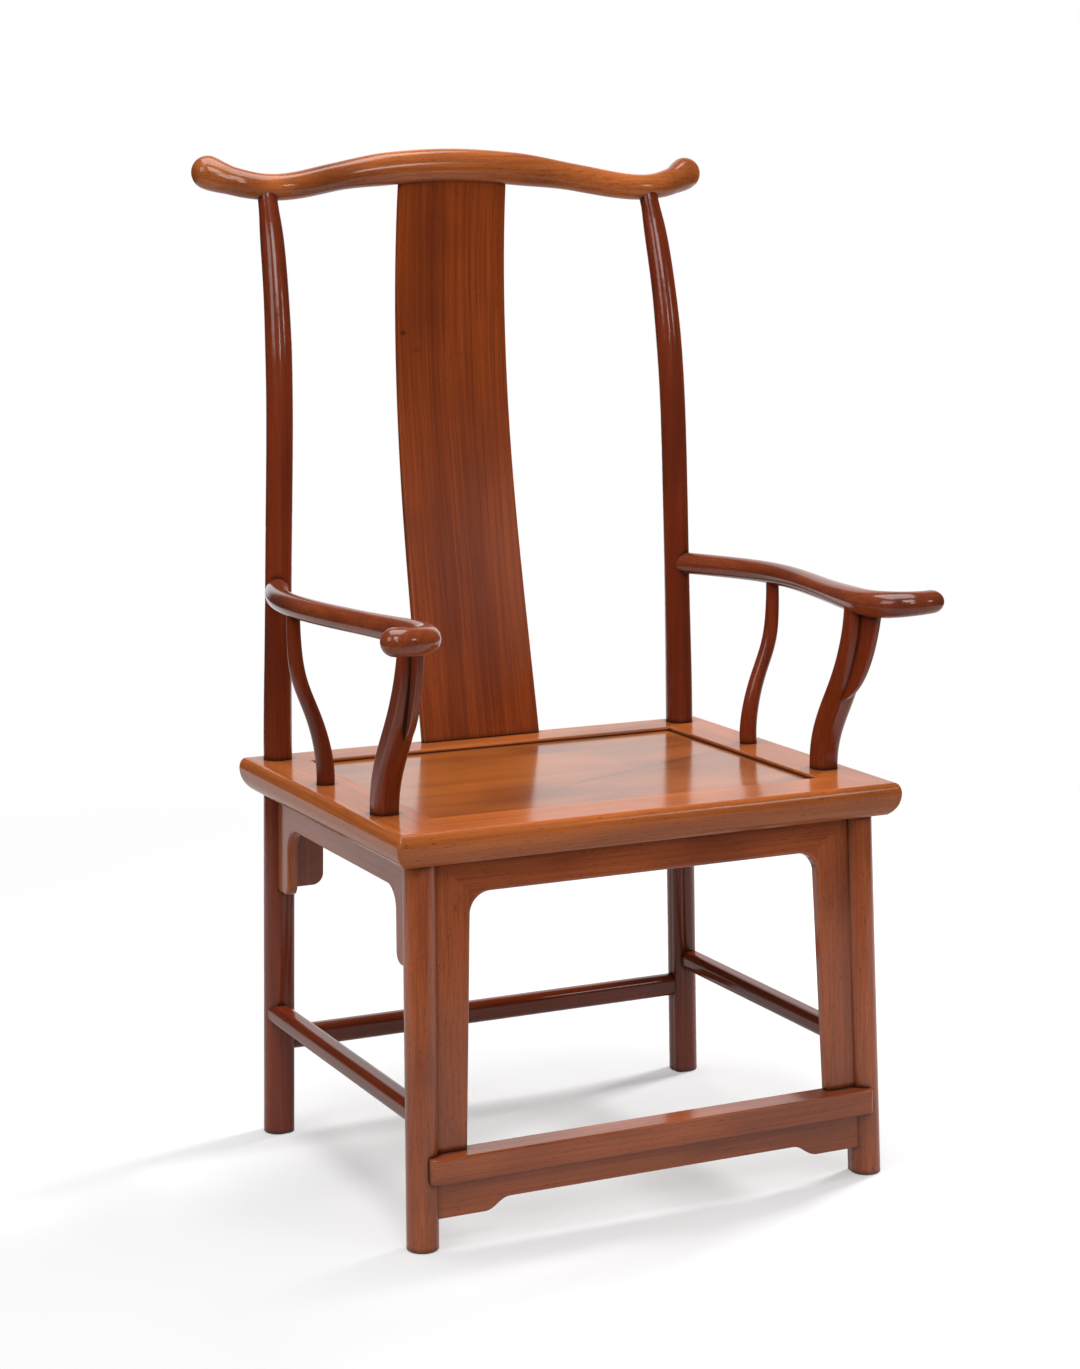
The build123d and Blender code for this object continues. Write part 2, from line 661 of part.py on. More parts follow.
def on_outer_corner(edge):
    """Whether an edge runs down one of the frame's outer corners."""
    middle = edge.center()
    from_side = HALF_W - abs(middle.X)
    from_end = HALF_D - abs(middle.Y)
    return max(from_side, from_end) < EDGE_UNDERCUT and abs(from_side - from_end) < FIT


def on_opening(edge):
    """Whether an edge runs along the top of the opening for the panel."""
    middle = edge.center()
    inside = abs(middle.X) < OPEN_X + FIT and OPEN_FRONT - FIT < middle.Y < OPEN_BACK + FIT
    return inside and middle.Z > SEAT_HEIGHT - FIT


def seat_ring():
    """Seat frame before it is cut into four mitred rails."""
    side_to_side = slab(Plane.XZ, HALF_W)
    front_to_back = slab(Plane.YZ, HALF_D)
    ring = side_to_side & front_to_back
    ring = fillet(ring.edges().filter_by(on_outer_corner), CORNER_ROUND)
    ring -= block(-OPEN_X, OPEN_X, OPEN_FRONT, OPEN_BACK, 0, 2 * SEAT_HEIGHT)
    low = PANEL_BOTTOM + PANEL_TONGUE_LIFT
    deep = PANEL_TONGUE + END_GAP
    return ring - block(
        -OPEN_X - deep,
        OPEN_X + deep,
        OPEN_FRONT - deep,
        OPEN_BACK + deep,
        low - FIT,
        low + PANEL_TONGUE_THICK + FIT,
    )


def mitre_wedge(edge_y, open_y, grow=0.0):
    """Upright wedge that holds one long rail, bounded by both mitres.

    grow lengthens it past the mitres, for the tongues."""
    slope = (HALF_W - OPEN_X) / (edge_y - open_y)
    far = edge_y + math.copysign(EDGE_UNDERCUT, edge_y)
    near = open_y - math.copysign(EDGE_UNDERCUT, edge_y)
    out_far = HALF_W + (far - edge_y) * slope + grow
    out_near = OPEN_X + (near - open_y) * slope + grow
    corners = [(-out_near, near), (-out_far, far), (out_far, far), (out_near, near)]
    return extrude(make_face(Polyline(*corners, close=True)), amount=2 * SEAT_HEIGHT)


def mitre_tongues(edge_y, open_y, fit=0.0):
    """Tongues of one long rail, inside the ends of the two side rails."""
    inward = -math.copysign(1, edge_y)
    y0 = edge_y + inward * (MITRE_TONGUE_MARGIN + EDGE_UNDERCUT - fit)
    y1 = open_y - inward * (MITRE_TONGUE_MARGIN + PANEL_TONGUE - fit)
    half = MITRE_TONGUE_THICK / 2 + fit
    slice_ = block(-HALF_W, HALF_W, y0, y1, MIDDLE_OF_RAIL - half, MIDDLE_OF_RAIL + half)
    longer = mitre_wedge(edge_y, open_y, MITRE_TONGUE + fit)
    return slice_ & longer


def leg_tenon(fit=0.0):
    """Square tenon on top of the right-hand front leg."""
    half = LEG_TENON / 2 + fit
    low = SEAT_BOTTOM - (FIT if fit else ROOT)
    return block(
        LEG_X - half,
        LEG_X + half,
        FRONT_LEG_Y - half,
        FRONT_LEG_Y + half,
        low,
        SEAT_BOTTOM + LEG_TENON_HEIGHT + (END_GAP if fit else 0),
    )


@cache
def frame_sockets():
    """Every hole cut in the seat frame for the posts, legs and splat."""
    hole = Pos(LEG_X, REAR_LEG_Y, MIDDLE_OF_RAIL) * Cylinder(POST_RADIUS_SEAT + FIT, 2 * RAIL_THICK)
    one_side = [hole, leg_tenon(FIT), neck_foot(FIT), side_foot(FIT)]
    cuts = [piece for cut in one_side for piece in both(cut)]
    return cuts + [splat_tongue_foot(FIT)] + [batten_body(x, FIT) for x in batten_places()]


def eased(rail):
    """A rail with its arris above the panel rounded, from mitre to mitre."""
    return fillet(rail.edges().filter_by(on_opening), INNER_ARRIS)


def seat_rails():
    """Front, back, left and right rails of the seat frame."""
    ring = seat_ring()
    sockets = frame_sockets()
    for cut in sockets:
        ring -= cut
    long_rails = []
    sides = ring
    for edge_y, open_y in ((-HALF_D, OPEN_FRONT), (HALF_D, OPEN_BACK)):
        tongues = mitre_tongues(edge_y, open_y)
        for cut in sockets:
            tongues -= cut
        rail = (ring & mitre_wedge(edge_y, open_y)) + (tongues & ring)
        long_rails.append(eased(whole(rail)))
        sides = sides - mitre_wedge(edge_y, open_y) - mitre_tongues(edge_y, open_y, FIT)
    right, left = both(eased(whole(sides & block(0, REACH, -REACH, REACH, 0, 2 * SEAT_HEIGHT))))
    return [*long_rails, left, right]


# ---------------------------------------------------------------- panel and battens
def batten_places():
    return [-BATTEN_SPACING / 2, BATTEN_SPACING / 2]


def batten_body(x, fit=0.0):
    """Batten from the front rail to the back rail, dovetailed into the panel."""
    half = BATTEN_WIDTH / 2
    low = PANEL_BOTTOM - BATTEN_THICK - fit
    top = PANEL_BOTTOM + BATTEN_DOVETAIL + fit
    outline = [
        (-half - fit, low),
        (half + fit, low),
        (half + fit, PANEL_BOTTOM),
        (half - BATTEN_FLARE + fit, PANEL_BOTTOM),
        (half + fit, top),
        (-half - fit, top),
        (-half + BATTEN_FLARE - fit, PANEL_BOTTOM),
        (-half - fit, PANEL_BOTTOM),
    ]
    face = Plane.XZ * make_face(Polyline(*outline, close=True))
    stub = BATTEN_STUB + (END_GAP if fit else 0)
    length = OPEN_BACK - OPEN_FRONT + 2 * stub
    bar = extrude(face, amount=length)
    return Pos(x, OPEN_BACK + stub, 0) * bar


def seat_panel():
    """Floating panel with a tongue all round and two dovetail slots beneath."""
    gap = END_GAP
    half = OPEN_X - gap
    body = block(-half, half, OPEN_FRONT + gap, OPEN_BACK - gap, PANEL_BOTTOM, PANEL_TOP)
    low = PANEL_BOTTOM + PANEL_TONGUE_LIFT
    body += block(
        -OPEN_X - PANEL_TONGUE,
        OPEN_X + PANEL_TONGUE,
        OPEN_FRONT - PANEL_TONGUE,
        OPEN_BACK + PANEL_TONGUE,
        low,
        low + PANEL_TONGUE_THICK,
    )
    for x in batten_places():
        body -= batten_body(x, FIT)
    return whole(body)


# ---------------------------------------------------------------- aprons
def apron_plane(origin, up, outward):
    """Sketch plane of a boxed apron: X along the apron, Y up the legs."""
    up = Vector(*up).normalized()
    normal = Vector(*outward)
    return Plane(origin=origin, x_dir=up.cross(normal), z_dir=normal - up * up.dot(normal))


def front_plane():
    up = (0, SPLAY_FRONT, SEAT_BOTTOM)
    return apron_plane((0, front_leg_y(0), 0), up, (0, -1, 0))


def side_plane():
    return apron_plane((leg_x(0), 0, 0), (-SPLAY_SIDE, 0, SEAT_BOTTOM), (1, 0, 0))


def rear_plane():
    return apron_plane((0, REAR_LEG_Y, 0), (0, 0, 1), (0, 1, 0))


def apron_shape(ends, low, widths, thick, tip):
    """A boxed apron lying in its plane, outer face up, and the wedge round its top board.

    ends gives, for the left and right leg, the leg's centre at the floor and at the
    seat; widths are those of an upright at its foot and at its top.  The uprights of an
    apron with a tip end free, and the others stand on the footrest."""
    top = SEAT_BOTTOM + FIT
    inside = SEAT_BOTTOM - APRON_HEIGHT

    def leg_at(end, height, inset=0.0):
        foot, head = ends[end]
        sign = 1 if end == 0 else -1
        return between(foot, head, height / SEAT_BOTTOM) + sign * inset

    bury = LEG_FLAT - HOUSING_DEPTH
    outer = [(leg_at(0, low, bury), low), (leg_at(0, top, bury), top)]
    outer += [(leg_at(1, top, bury), top), (leg_at(1, low, bury), low)]
    width_low, width_top = [LEG_FLAT + width for width in widths]
    left = [(leg_at(0, low, width_low), low), (leg_at(0, inside, width_top), inside)]
    right = [(leg_at(1, inside, width_top), inside), (leg_at(1, low, width_low), low)]
    below = low - APRON_HEIGHT
    foot_left = (left[0][0], below)
    foot_right = (right[1][0], below)
    opening = make_face(Polyline(foot_left, *left, *right, foot_right, close=True))
    opening = fillet(opening.vertices().sort_by(Axis.Y)[-2:], APRON_CORNER)
    outline = make_face(Polyline(*outer, close=True)) - opening
    if tip:
        tips = [outline.vertices().sort_by_distance((x, low, 0))[0] for x in (left[0][0], right[1][0])]
        outline = fillet(tips, tip)

    def on_free_edge(edge):
        spot = edge.center()
        from_leg = min(abs(spot.X - leg_at(end, spot.Y)) for end in (0, 1))
        lowest = low - FIT if tip else low + FIT
        return abs(spot.Z) < FIT and from_leg > LEG_FLAT and lowest < spot.Y < top - FIT

    board = extrude(outline, amount=-thick)
    board = fillet(board.edges().filter_by(on_free_edge), APRON_EDGE)
    cut = []
    for side, corner_point in ((0, left[1]), (1, right[0])):
        head = Vector(leg_at(side, top, LEG_FLAT), top)
        inner = Vector(*corner_point)
        mitre = inner - head
        cut.append((head - mitre * 2, inner + mitre * 2))
    wedge = make_face(Polyline(cut[0][1], cut[0][0], cut[1][0], cut[1][1], close=True))
    return outline, board, extrude(wedge, amount=thick + FIT, both=True)


@cache
def apron_set(place):
    """Outline, board, wedge, plane and thickness of the apron on one side of the chair."""
    if place == "front":
        ends = [(-leg_x(0), -LEG_X), (leg_x(0), LEG_X)]
        shape = apron_shape(ends, FOOTREST_TOP, (JAMB_WIDTH_FOOT, JAMB_WIDTH_TOP), FRONT_APRON_THICK, 0)
        return *shape, front_plane(), FRONT_APRON_THICK
    low = SEAT_BOTTOM - DROP_LENGTH
    if place == "rear":
        ends = [(-leg_x(0), -LEG_X), (leg_x(0), LEG_X)]
        widths = (REAR_DROP_WIDTH, REAR_DROP_WIDTH)
        plane = rear_plane()
    else:
        ends = [(front_leg_y(0), FRONT_LEG_Y), (REAR_LEG_Y, REAR_LEG_Y)]
        widths = (DROP_WIDTH, DROP_WIDTH)
        plane = side_plane()
    shape = apron_shape(ends, low, widths, SIDE_APRON_THICK, DROP_TIP_ROUND)
    return *shape, plane, SIDE_APRON_THICK


def apron_boards(place):
    """Top board and two uprights of one boxed apron, mitred, resting against the seat frame."""
    outline, board, wedge, plane, thick = apron_set(place)
    low = FOOTREST_TOP if place == "front" else 0
    room = block(-REACH, REACH, -REACH, REACH, low, SEAT_BOTTOM)
    uprights = (board - wedge).solids().sort_by(Axis.X)
    parts = [board & wedge, uprights[0], uprights[-1]]
    return [whole(plane.offset(APRON_OUTSET) * part & room) for part in parts]


@cache
def apron_housings():
    """Room for the ends of every apron in the right-hand legs."""
    cuts = []
    for place in ("front", "side", "rear"):
        outline, board, wedge, plane, thick = apron_set(place)
        placed = plane.offset(APRON_OUTSET + FIT) * outline
        cuts.append(extrude(placed, amount=-thick - 2 * FIT))
    cuts.append(footrest_apron_board(FIT))
    return cuts


# ---------------------------------------------------------------- footrest and its apron
def footrest_front():
    """Y of the footrest's front face."""
    return front_leg_y(FOOTREST_TOP) - FOOTREST_PROUD


def footrest_body():
    front = footrest_front()
    half = leg_x(FOOTREST_TOP)
    bar = block(-half, half, front, front + FOOTREST_DEPTH, FOOTREST_TOP - FOOTREST_THICK, FOOTREST_TOP)
    ends = bar.edges().filter_by(Axis.Z).group_by(Axis.Y)[0]
    bar = fillet(ends, FOOTREST_END_ROUND)
    level = bar.edges().filter_by(Axis.Z, reverse=True)
    back = level.group_by(Axis.Y)[-1]
    return fillet([edge for edge in level if edge not in back], FOOTREST_EDGE)


def footrest_tenons(fit=0.0):
    """Tenon of the footrest in each front leg."""
    z = FOOTREST_TOP - FOOTREST_THICK / 2
    x0 = leg_x(z) - LEG_FLAT
    y = footrest_front() + FOOTREST_DEPTH - FOOTREST_TENON_MARGIN - FOOTREST_TENON_THICK / 2
    half_y = FOOTREST_TENON_THICK / 2 + fit
    half_z = FOOTREST_TENON_HEIGHT / 2 + fit
    end = x0 + FOOTREST_TENON + (END_GAP if fit else 0)
    tenon = block(x0 - ROOT, end, y - half_y, y + half_y, z - half_z, z + half_z)
    return list(both(tenon))


def front_leg():
    """Front leg, tenoned up into the seat frame, with room for its aprons and stretchers."""
    piece = front_leg_body() + leg_tenon()
    for cut in apron_housings() + footrest_tenons(FIT) + side_stretcher_tenons(FIT):
        piece -= cut
    return whole(piece)


def footrest():
    """Footrest stretcher lapped over the fronts of both front legs."""
    body = footrest_body()
    for leg in both(front_leg_body()):
        body -= leg
    for tenon in footrest_tenons():
        body += tenon
    return whole(body - footrest_apron_board(FIT))


def footrest_apron_board(fit=0.0):
    """Low shaped apron under the footrest, tongued up into it and into the legs."""
    top = FOOTREST_TOP - FOOTREST_THICK + APRON_TONGUE + fit
    base = FOOTREST_TOP - FOOTREST_THICK
    low = base - FOOTREST_APRON_END - fit
    middle = base - FOOTREST_APRON_MIDDLE - fit
    end = leg_x(low) - LEG_FLAT + HOUSING_DEPTH + fit
    shoulder = leg_x(low) - FOOTREST_APRON_SHOULDER - LEG_FLAT + fit
    inner = shoulder - FOOTREST_APRON_CURVE
    ease = FOOTREST_APRON_CURVE * FOOTREST_APRON_EASE
    curves = []
    for sign in (-1, 1):
        curves.append(Line((sign * end, top), (sign * end, low)))
        curves.append(Line((sign * end, low), (sign * shoulder, low)))
        curve = [(shoulder, low), (shoulder - ease, low), (inner + ease, middle), (inner, middle)]
        curves.append(Bezier(*[(sign * u, v) for u, v in curve]))
    curves.append(Line((-inner, middle), (inner, middle)))
    curves.append(Line((-end, top), (end, top)))
    board = extrude(make_face(curves), amount=-FOOTREST_APRON_THICK - 2 * fit)

    def on_lower_edge(edge):
        spot = edge.center()
        return abs(spot.Z) < FIT and abs(spot.X) < end - FIT and spot.Y < base

    if not fit:
        board = fillet(board.edges().filter_by(on_lower_edge), FOOTREST_APRON_EDGE)
    return front_plane().offset(FOOTREST_APRON_OUTSET + fit) * board


# ---------------------------------------------------------------- stretchers
def side_stretcher_x():
    return leg_x(SIDE_STRETCHER_LEVEL) + SIDE_STRETCHER_OUTSET


def side_stretcher_tenons(fit=0.0):
    """Tenons of the right-hand side stretcher in the front and rear legs."""
    z = SIDE_STRETCHER_LEVEL
    x = side_stretcher_x()
    half_x = STRETCHER_TENON_THICK / 2 + fit
    half_z = STRETCHER_TENON_HEIGHT / 2 + fit
    gap = END_GAP if fit else 0
    front = front_leg_y(z) + LEG_FLAT
    rear = REAR_LEG_Y - LEG_FLAT
    length = STRETCHER_TENON + gap
    spans = [(front - length, front + ROOT), (rear - ROOT, rear + length)]
    return [block(x - half_x, x + half_x, y0, y1, z - half_z, z + half_z) for y0, y1 in spans]


def rear_stretcher_tenons(fit=0.0):
    """Tenons of the rear stretcher in both rear legs."""
    z = REAR_STRETCHER_LEVEL
    inner = leg_x(z) - LEG_FLAT
    half_y = STRETCHER_TENON_THICK / 2 + fit
    half_z = STRETCHER_TENON_HEIGHT / 2 + fit
    end = inner + STRETCHER_TENON + (END_GAP if fit else 0)
    y = REAR_LEG_Y
    tenon = block(inner - ROOT, end, y - half_y, y + half_y, z - half_z, z + half_z)
    return list(both(tenon))


def side_stretcher():
    """Side stretcher, coped to both legs."""
    z = SIDE_STRETCHER_LEVEL
    y = front_leg_y(z)
    section = RectangleRounded(SIDE_STRETCHER_WIDTH, SIDE_STRETCHER_HEIGHT, STRETCHER_ROUND)
    end = Plane(origin=(side_stretcher_x(), y, z), x_dir=(1, 0, 0), z_dir=(0, 1, 0)) * section
    body = extrude(end, amount=REAR_LEG_Y - y)
    body = body - front_leg_body() - rear_leg_body()
    for tenon in side_stretcher_tenons():
        body += tenon
    return whole(body)


def rear_stretcher():
    """Rear stretcher, coped to both rear legs."""
    z = REAR_STRETCHER_LEVEL
    half = leg_x(z)
    section = RectangleRounded(REAR_STRETCHER_WIDTH, REAR_STRETCHER_HEIGHT, STRETCHER_ROUND)
    end = Plane(origin=(-half, REAR_LEG_Y, z), x_dir=(0, 1, 0), z_dir=(1, 0, 0)) * section
    body = extrude(end, amount=2 * half)
    for leg in both(rear_leg_body()):
        body -= leg
    for tenon in rear_stretcher_tenons():
        body += tenon
    return whole(body)


# ---------------------------------------------------------------- the whole chair
def add_pair(pieces, name, piece):
    right, left = both(piece)
    pieces[name + "_right"] = right
    pieces[name + "_left"] = left


def chair():
    pieces = {}
    pieces["crest_rail"] = crest_rail()
    pieces["back_splat"] = back_splat()
    add_pair(pieces, "rear_post", rear_post())
    add_pair(pieces, "armrest", armrest())
    add_pair(pieces, "arm_front_post", arm_front_post())
    add_pair(pieces, "arm_side_post", arm_side_post())
    add_pair(pieces, "arm_bracket", arm_bracket())
    rails = seat_rails()
    for name, rail in zip(("front", "back", "left", "right"), rails):
        pieces["seat_rail_" + name] = rail
    pieces["seat_panel"] = seat_panel()
    for name, x in zip(("left", "right"), batten_places()):
        pieces["seat_batten_" + name] = batten_body(x)
    add_pair(pieces, "front_leg", front_leg())
    top, left, right = apron_boards("front")
    pieces["front_apron_top"] = top
    pieces["front_apron_jamb_left"] = left
    pieces["front_apron_jamb_right"] = right
    top, front_drop, rear_drop = apron_boards("side")
    add_pair(pieces, "side_apron", top)
    add_pair(pieces, "side_apron_front_drop", front_drop)
    add_pair(pieces, "side_apron_rear_drop", rear_drop)
    top, right, left = apron_boards("rear")
    pieces["rear_apron"] = top
    pieces["rear_apron_drop_left"] = left
    pieces["rear_apron_drop_right"] = right
    pieces["footrest"] = footrest()
    pieces["footrest_apron"] = footrest_apron_board()
    add_pair(pieces, "side_stretcher", side_stretcher())
    pieces["rear_stretcher"] = rear_stretcher()
    return pieces


def centred(pieces):
    """Slide the chair along Y, so that its box is centred over the origin."""
    boxes = [piece.bounding_box() for piece in pieces.values()]
    front = min(box.min.Y for box in boxes)
    back = max(box.max.Y for box in boxes)
    return {name: Pos(0, -(front + back) / 2, 0) * piece for name, piece in pieces.items()}


os.makedirs("parts", exist_ok=True)
for name, piece in centred(chair()).items():
    export_step(piece, "parts/" + name + ".step")
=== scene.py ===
"""Looks of an official's hat armchair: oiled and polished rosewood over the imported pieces."""

import math

import bpy
import numpy as np
from mathutils import Euler, Matrix, Vector


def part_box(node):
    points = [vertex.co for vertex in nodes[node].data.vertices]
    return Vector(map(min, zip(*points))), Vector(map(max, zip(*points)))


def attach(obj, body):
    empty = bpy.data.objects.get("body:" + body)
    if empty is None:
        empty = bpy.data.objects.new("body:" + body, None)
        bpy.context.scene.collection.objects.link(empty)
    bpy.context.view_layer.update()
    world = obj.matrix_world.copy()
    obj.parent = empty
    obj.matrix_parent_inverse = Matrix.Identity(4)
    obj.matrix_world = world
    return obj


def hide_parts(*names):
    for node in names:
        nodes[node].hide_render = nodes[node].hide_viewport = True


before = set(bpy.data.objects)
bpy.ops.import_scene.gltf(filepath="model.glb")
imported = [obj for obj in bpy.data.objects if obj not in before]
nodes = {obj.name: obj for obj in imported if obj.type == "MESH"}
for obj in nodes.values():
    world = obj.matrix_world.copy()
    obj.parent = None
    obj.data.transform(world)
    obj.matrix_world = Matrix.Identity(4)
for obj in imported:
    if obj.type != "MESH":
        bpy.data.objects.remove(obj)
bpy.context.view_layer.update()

MM = 0.001

# ---------------------------------------------------------------- the bent rails, in millimetres
# Centre lines as a joiner would mark them on the blank: from the middle of the crest to its
# right tip, and from inside the right rear post to the arm's tip.
CREST_HALF_LINE = [
    (0.0, 290.0, 1170.5),
    (84.3, 286.8, 1166.3),
    (168.6, 274.6, 1154.6),
    (255.5, 258.0, 1144.0),
    (291.0, 265.6, 1150.1),
    (320.0, 279.0, 1161.0),
]
ARM_LINE = [
    (270.1, 203.0, 672.5),
    (289.4, 158.4, 672.5),
    (314.0, 38.0, 674.5),
    (300.9, -83.2, 674.5),
    (277.5, -214.5, 674.5),
    (280.1, -262.2, 675.3),
    (300.7, -286.3, 677.5),
    (327.6, -290.2, 678.9),
]
# Half height and half depth at shares of the length: the crest's counted from its middle out
# to a tip, the arm's from the rear post forward.
CREST_STATIONS = [
    (0.0, 20.3, 17.0),
    (0.25, 20.0, 16.8),
    (0.5, 16.8, 15.6),
    (0.8, 15.7, 15.2),
    (0.9, 16.6, 16.4),
    (1.0, 20.0, 20.0),
]
ARM_STATIONS = [
    (0.0, 13.5, 13.5),
    (0.35, 13.3, 13.3),
    (0.6, 13.3, 13.3),
    (0.88, 15.5, 15.5),
]
# Each arm's tip was shaped by hand: its half height and half depth.
ARM_TIPS = {"right": (13.4, 15.4), "left": (15.4, 15.6)}
BAR_SIDES = 64
BAR_RINGS = 200
TIP_RINGS = 14             # rings over each rounded tip
LINE_POINTS = 1600         # points along a centre line, several to a ring so that it bends evenly
WELD = 0.01                # mm between points that are one

# ---------------------------------------------------------------- camera and studio, in metres
CAMERA_PLACE = (-1.4358, -2.9274, 1.1208)
CAMERA_AIM = (-0.0290, -0.0145, 0.5700)
CAMERA_ROLL = -0.21        # degrees
CAMERA_REACH = 60.0
LENS = 73.91               # mm, on a sensor as wide as the next value
SENSOR = 36.0
# Soft lamps: where they hang, how wide they are, and their power in watts.
LAMPS = {
    "key": ((2.75, 0.87, 1.95), 0.7, 120.0),
    "overhead": ((-0.3, 0.1, 3.2), 2.2, 78.0),
    "front_top": ((-0.9, -2.4, 2.7), 1.3, 36.0),
    "left": ((-2.5, -0.9, 2.0), 1.3, 20.0),
    "front_right": ((1.9, -2.9, 2.0), 0.6, 9.0),
    "front_left": ((-0.8, -3.5, 1.9), 0.5, 9.0),
}
GLARELESS = ["key"]        # lamps behind a matt reflector, which leave no glint in the polish
LAMP_AIM = (0.0, 0.0, 0.5)
AMBIENT = 0.21             # strength of the light from all round
ROOM_DARK = 0.03           # what polish shows of the room away from the white backdrop
BACKDROP_WAY = (0.435, 0.900, 0.0)  # level direction from the camera to the backdrop
BACKDROP_SIDES = (0.88, 0.96)       # cosines of the angles over which it ends sideways
BACKDROP_TOP = (0.85, 0.55)         # sines of the heights over which it ends above
FLOOR_HALF = 8.0
FLOOR_CLEAR = (0.8, 2.4)   # distance from the chair over which the floor fades to plain white
FLOOR_PLAIN = 0.32         # how plain it already is at the chair
FLOOR_TONE = "#E0E0E0"     # the paper to look at
FLOOR_BOUNCE = "#B4B0AC"   # the paper as a lamp under the chair
PAPER_SIDES = (1.7, 2.5)   # how far to each side polish shows it white, from and to
PAPER_FRONT = (-1.5, -0.6)  # the same towards the camera, from its dark end

# ---------------------------------------------------------------- rosewood
# Rosewood (hongmu): dense, straight grained and oily.  It is planed, scraped, rubbed with
# oil and wax, and then polished: a warm brown to orange-red ground with narrow darker
# growth lines, broad soft dark veins, short open pores, and a thin clear glossy skin.
WANDER = 7.0               # mm that the grain strays to each side along a board
WANDER_SCALE = 7.0         # strays to the metre across a board
WANDER_ALONG = 0.22        # those along it, as a share of those across
GROWTH_LINE = 6.5          # mm from one growth line to the next
LINE_SHAPE = {"Distortion": 1.6, "Detail": 2.0, "Detail Scale": 0.6}
LINE_FADE = (0.5, 1.0)     # part of a year's growth over which its line darkens
WAVE_TURN = 20.0           # radians to the metre of a wave texture of scale 1
PITH_AWAY = (45.0, 30.0)   # mm across the log from its pith to the first blank
BLANK_STEP = (13.0, -11.0, 610.0)  # mm between blanks, across the log both ways and along it
BLANKS_ACROSS = (5, 3)     # how many lie side by side before the next ones repeat

# Marks of the grain: width and length in mm, how broken up, and the noise levels over which
# they fade in.  Real fibres and pores are 0.1 to 0.3 mm wide, and are drawn several times
# coarser here, so that they still show from a few steps away.
MARKS = {
    "bands": (5.5, 700.0, 2.0, 0.40, 0.60),
    "veins": (42.0, 900.0, 2.0, 0.45, 0.70),
    "clouds": (95.0, 190.0, 2.0, 0.40, 0.68),
    "fibres": (1.4, 150.0, 2.0, 0.38, 0.68),
    "pores": (1.2, 8.0, 1.0, 0.66, 0.71),
}
# The tone that each mark brings, in the order in which they lie over the pale wood.
TONES = ("pale", "ground", "vein", "pore")
MARK_TONES = {
    "bands": "ground",
    "lines": "vein",
    "veins": "vein",
    "clouds": "vein",
    "fibres": "vein",
    "pores": "pore",
}
# Each finish has its tones, how strongly each of those marks shows, how much of its thickness
# the grain pattern follows, and how full and how rough the polish is.
FINISHES = {
    "bright": {
        "tones": ("#B2602B", "#92481C", "#542410", "#2E120A"),
        "shares": (0.30, 0.08, 0.28, 0.30, 0.22, 0.50),
        "follow": 1.0,
        "polish": (0.68, 0.16),
    },
    "crest": {
        "tones": ("#B2622D", "#8E461E", "#4C1E0E", "#280F0A"),
        "shares": (0.30, 0.08, 0.32, 0.48, 0.25, 0.45),
        "follow": 1.0,
        "polish": (0.80, 0.13),
    },
    "frame": {
        "tones": ("#A55630", "#854123", "#4E2012", "#280F0A"),
        "shares": (0.30, 0.08, 0.32, 0.38, 0.25, 0.45),
        "follow": 1.0,
        "polish": (0.90, 0.13),
    },
    "dark": {
        "tones": ("#792F13", "#61230C", "#3E1507", "#260B05"),
        "shares": (0.35, 0.06, 0.35, 0.35, 0.25, 0.30),
        "follow": 0.35,
        "polish": (0.80, 0.15),
    },
    "arm": {
        "tones": ("#823C1E", "#662A16", "#40170B", "#260B05"),
        "shares": (0.35, 0.06, 0.35, 0.45, 0.25, 0.40),
        "follow": 0.6,
        "polish": (0.90, 0.12),
    },
    "panel": {
        "tones": ("#9B5521", "#7C3C18", "#5E2A12", "#421B0C"),
        "shares": (0.15, 0.0, 0.25, 0.50, 0.16, 0.15),
        "follow": 1.0,
        "polish": (0.90, 0.15),
    },
    "splat": {
        "tones": ("#8F4013", "#6D2A0C", "#451808", "#2B0C05"),
        "shares": (0.40, 0.0, 0.35, 0.25, 0.35, 0.30),
        "follow": 0.06,
        "polish": (0.60, 0.20),
    },
}
# Knots, darker clouds and streaks: middle and half sizes in mm, turn about the upright in
# degrees, and strength.
SPOTS = {
    "crest_rail": [
        ((-165, 274, 1153), (80, 60, 40), 0, 0.55),
        ((-285, 262, 1147), (35, 50, 40), 0, 0.45),
    ],
    "back_splat": [
        ((-69, 290, 964), (4.5, 60, 3.2), 0, 0.85),
        ((-51, 290, 943), (7.0, 60, 3.0), 0, 0.35),
    ],
    "seat_panel": [
        ((-95, -100, 462), (80, 55, 40), 20, 0.50),
        ((95, -30, 462), (170, 4.5, 40), 22, 0.65),
        ((150, 60, 462), (60, 30, 40), 22, 0.40),
    ],
}
SPOT_STRAY = 20.0          # mm over which a spot's outline strays with the grain
SPOT_FADE = (1.3, 0.3)     # from where to where it darkens, in its half sizes
# Painted shade: the wood is darkened where nearby surfaces close it in, in corners, joints and
# recesses, and this also stands for dark old wax there.
JOINT_REACH = 8.0          # mm out of a corner or joint that painted shade and dark old wax reach
WAX_AND_SHADE_FADE = (0.95, 0.55)    # how open a place is where painted shade and wax start, and where they are darkest
WAX_AND_SHADE_DARKEST = 0.95
WAX_AND_SHADE_SAMPLES = 8
PORE_DEPTH = 0.1           # mm
PORE_OPEN = 0.2            # share of the depth that polish leaves open
WOOD_ROUGHNESS = 0.5
WOOD_SHINE = 0.05          # the oiled wood under the polish hardly shines
POLISH_IOR = 1.5

